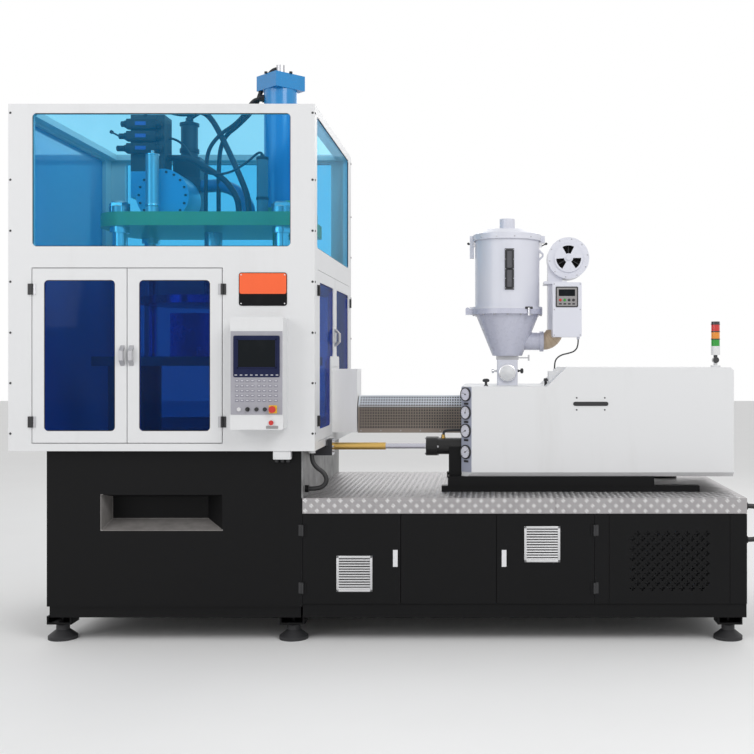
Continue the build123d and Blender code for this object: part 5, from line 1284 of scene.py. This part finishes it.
class MACHINE_OT_press_fittings(Operator):
    """Fit the press's valves, solenoids, unions, pipes, caps and bolts behind the upper windows"""

    bl_idname = "machine.press_fittings"
    bl_label = "Press fittings"

    def execute(self, context):
        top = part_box("upper_platen")[1].z / MM - PLATEN_NUT
        press = Shape(*(PAINT[key] for key in ("iron", "steel", "blue", "chrome", "green", "label_blue")))
        for i, z in enumerate((3070, 3150, 3230)):
            press.use(0).box((505, 596, z), (700, 640, z + 66), 5, 2)
            press.turned((505, 616, z + 33), -X,
                         [(24, 0), (24, 12), (19, 14), (19, 62 - 14 * i), (12, 66 - 14 * i)], 18)
            press.turned((700, 616, z + 33), X, [(22, 0), (22, 30), (14, 34)], 18)
            press.use(5).box((566, 592.5, z + 22), (636, 597, z + 46), 1)
        press.use(0).turned((457, 616, 3183), Vector((-1, 0, 0.55)),
                            [(6, 0), (6, 46), (12, 52), (12, 66), (6, 70)], 14)
        press.box((760, 843, 2960), (905, 852, 3072), 2)
        press.turned((832, 925, 3130), Z, [(63, 0), (66, 3), (66, 27), (63, 30)], 32)
        press.turned((832, 925, 3300), Z, [(57, 15), (66, 16), (66, 34), (40, 40), (26, 52), (26, 70)], 32)
        press.use(3).turned((714, 485, 2980), Z,
                            [(42, 50), (45, 51), (45, 60), (30, 66), (12, 66), (12, 80), (8, 84)], 28)
        press.turned((714, 485, 2700), Z, [(43.5, 0), (45, 2), (45, 16), (43.5, 18)], 28)
        press.use(0).turned((1400, 600, 3020), Z,
                            [(37, 3), (40, 4), (40, 22), (30, 26), (14, 26), (14, 40)], 28)
        press.turned((1400, 600, 2760), Z, [(38, 0), (41, 2), (41, 18), (38, 20)], 28)
        press.use(4).turned((1560, 700, 2720.6), Z, [(46, 0), (46, 44), (42, 48), (20, 48)], 6)
        for x in (490, 1540):
            for y in (525, 1175):
                press.use(1).turned((x, y, top), Z,
                                    [(66, 0), (66, 40), (60, 46), (52, 70), (34, 78), (12, 80)], 28)
        for route, radius in PRESS_PIPES:
            press.use(2 if radius == DUCT_RADIUS else 0).pipe(route, radius)
        press.done("press_fittings", "machine")
        bolts = []
        for i in range(FLANGE_BOLTS["count"]):
            t = math.tau * i / FLANGE_BOLTS["count"]
            x = FLANGE_BOLTS["x"] + FLANGE_BOLTS["radius"] * math.cos(t)
            z = FLANGE_BOLTS["z"] + FLANGE_BOLTS["radius"] * math.sin(t)
            if z > FLANGE_BOLTS["above"]:
                bolts.append((place(x, FLANGE_BOLTS["y"], z), -Y, X))
        plant("drum_bolts", "machine", PAINT["iron"], bolts, headed(9, 8), hexagon_head)
        return {"FINISHED"}


CLAMP_GLAND = 74
ROOF_PIPES = (
    (((1472, 850, 3640), (1472, 850, 3680), (1440, 850, 3690), (1395, 850, 3660), (1345, 850, 3560),
      (1300, 850, 3420), (1180, 850, 3300), (1100, 850, 3240), (1060, 850, 3150), (1050, 850, 3000),
      (1050, 850, 2720), (1050, 850, 2664)), 15),
    (((1365, 820, 3480), (1330, 820, 3480), (1285, 815, 3460), (1240, 800, 3370), (1170, 780, 3290),
      (1080, 770, 3230), (1000, 770, 3130), (985, 770, 3000), (985, 770, 2720), (985, 770, 2664)), 13),
)


class MACHINE_OT_clamp_fittings(Operator):
    """Fit the clamp cylinder's flange bolts, its union and the pipes that go down through the open roof"""

    bl_idname = "machine.clamp_fittings"
    bl_label = "Clamp fittings"

    def execute(self, context):
        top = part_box("clamp_cylinder")[1].z / MM - CLAMP_GLAND
        bolts = ringed((1472, 850, top), 118, 4, Z)
        plant("clamp_bolts", "machine", PAINT["iron"], bolts, headed(13, 12), hexagon_head)
        roof = Shape(PAINT["iron"], PAINT["brass"])
        for route, radius in ROOF_PIPES:
            roof.pipe(route, radius)
        roof.turned((1366, 820, 3480), -X, [(26, -10), (26, 14), (20, 16), (20, 34), (15, 36)], 6)
        roof.use(1).turned((1472, 850, 3640), Z, [(31, 0), (31, 22), (24, 24), (24, 40), (16, 42)], 6)
        roof.done("clamp_pipes", "machine")
        return {"FINISHED"}


CAMERA_STATION = (2892, -6500, 1700)
CAMERA_SHIFT = (-0.1499, -0.0199)
SENSOR_WIDTH = 36
FLOOR_REACH = 40
AMBIENT, BACKDROP = 0.66, 1.0


class MACHINE_OT_stage(Operator):
    """Set the floor, the backdrop, the lamps and the camera"""

    bl_idname = "machine.stage"
    bl_label = "Stage"

    def execute(self, context):
        scene = context.scene
        scene.view_settings.view_transform = "Standard"
        self.floor(scene)
        self.sky(scene)
        for name, spot, aim, size, watts in (
                ("Key", (4.5, -6.5, 7.0), (0, 0, 1.4), 4.0, 270),
                ("Fill", (-6.0, -6.0, 4.5), (-0.5, 0, 1.6), 5.0, 130),
                ("Back", (1.0, 6.0, 6.5), (0, 0, 1.8), 5.0, 130)):
            lamp = bpy.data.lights.new(name, "AREA")
            lamp.energy = watts
            lamp.size = size
            holder = bpy.data.objects.new(name, lamp)
            holder.location = spot
            holder.rotation_euler = (Vector(aim) - Vector(spot)).to_track_quat("-Z", "Y").to_euler()
            scene.collection.objects.link(holder)
        eye = bpy.data.cameras.new("Eye")
        eye.sensor_width = SENSOR_WIDTH
        eye.lens = scene.machine_sizes.lens
        eye.shift_x, eye.shift_y = CAMERA_SHIFT
        camera = bpy.data.objects.new("Eye", eye)
        camera.location = place(*CAMERA_STATION)
        camera.rotation_euler = (math.radians(90), 0, 0)
        scene.collection.objects.link(camera)
        scene.camera = camera
        return {"FINISHED"}

    def floor(self, scene):
        """A pale floor."""
        mesh = bpy.data.meshes.new("Floor")
        corners = [(u * FLOOR_REACH, v * FLOOR_REACH, 0) for u, v in ((-1, -1), (1, -1), (1, 1), (-1, 1))]
        mesh.from_pydata(corners, [], [(0, 1, 2, 3)])
        floor = bpy.data.objects.new("Floor", mesh)
        pale = Finish("Floor_pale", (0.88, 0.88, 0.88, 1), 0.7)
        pale.set("Base Color", pale.mix(pale.noise(1.5, 4.0), (0.87, 0.87, 0.87, 1), (0.9, 0.9, 0.9, 1)))
        mesh.materials.append(pale.material)
        scene.collection.objects.link(floor)

    def sky(self, scene):
        """White light all round, brighter where the camera sees it straight, mirrored or through a pane."""
        world = scene.world or bpy.data.worlds.new("World")
        scene.world = world
        world.use_nodes = True
        links, made = world.node_tree.links, world.node_tree.nodes
        made.clear()
        ray = made.new("ShaderNodeLightPath")
        seen = ray.outputs["Is Camera Ray"]
        for kind in ("Is Glossy Ray", "Is Transmission Ray"):
            either = made.new("ShaderNodeMath")
            either.operation = "MAXIMUM"
            links.new(seen, either.inputs[0])
            links.new(ray.outputs[kind], either.inputs[1])
            seen = either.outputs[0]
        blend = made.new("ShaderNodeMixShader")
        links.new(seen, blend.inputs[0])
        for slot, strength in ((1, AMBIENT), (2, BACKDROP)):
            glow = made.new("ShaderNodeBackground")
            glow.inputs["Color"].default_value = (1, 1, 1, 1)
            glow.inputs["Strength"].default_value = strength
            links.new(glow.outputs[0], blend.inputs[slot])
        out = made.new("ShaderNodeOutputWorld")
        links.new(blend.outputs[0], out.inputs[0])


OPERATORS = (
    MACHINE_OT_stage, MACHINE_OT_finishes, MACHINE_OT_hoses, MACHINE_OT_panel_screws,
    MACHINE_OT_window_seals, MACHINE_OT_blank_plate, MACHINE_OT_operator_panel, MACHINE_OT_tread,
    MACHINE_OT_vents, MACHINE_OT_base_fittings, MACHINE_OT_gauges, MACHINE_OT_cover_fittings,
    MACHINE_OT_barrel_guard, MACHINE_OT_cylinder_fittings, MACHINE_OT_drum_fittings,
    MACHINE_OT_hopper_fittings, MACHINE_OT_dryer_controls, MACHINE_OT_press_fittings,
    MACHINE_OT_clamp_fittings)


class MACHINE_PT_steps(Panel):
    """Lists the steps that dress the machine"""

    bl_idname = "MACHINE_PT_steps"
    bl_label = "Moulding machine"
    bl_space_type = "VIEW_3D"
    bl_region_type = "UI"
    bl_category = "Machine"

    def draw(self, context):
        for group in (context.scene.machine_colours, context.scene.machine_sizes):
            for key in group.__annotations__:
                self.layout.prop(group, key)
        for step in OPERATORS:
            self.layout.operator(step.bl_idname)


CLASSES = (MachineColours, MachineSizes, *OPERATORS, MACHINE_PT_steps)


def register():
    for kind in CLASSES:
        bpy.utils.register_class(kind)
    bpy.types.Scene.machine_colours = PointerProperty(type=MachineColours)
    bpy.types.Scene.machine_sizes = PointerProperty(type=MachineSizes)


def unregister():
    del bpy.types.Scene.machine_sizes
    del bpy.types.Scene.machine_colours
    for kind in reversed(CLASSES):
        bpy.utils.unregister_class(kind)


def main():
    register()
    for step in OPERATORS:
        group, name = step.bl_idname.split(".")
        getattr(getattr(bpy.ops, group), name)()


if __name__ == "__main__":
    main()
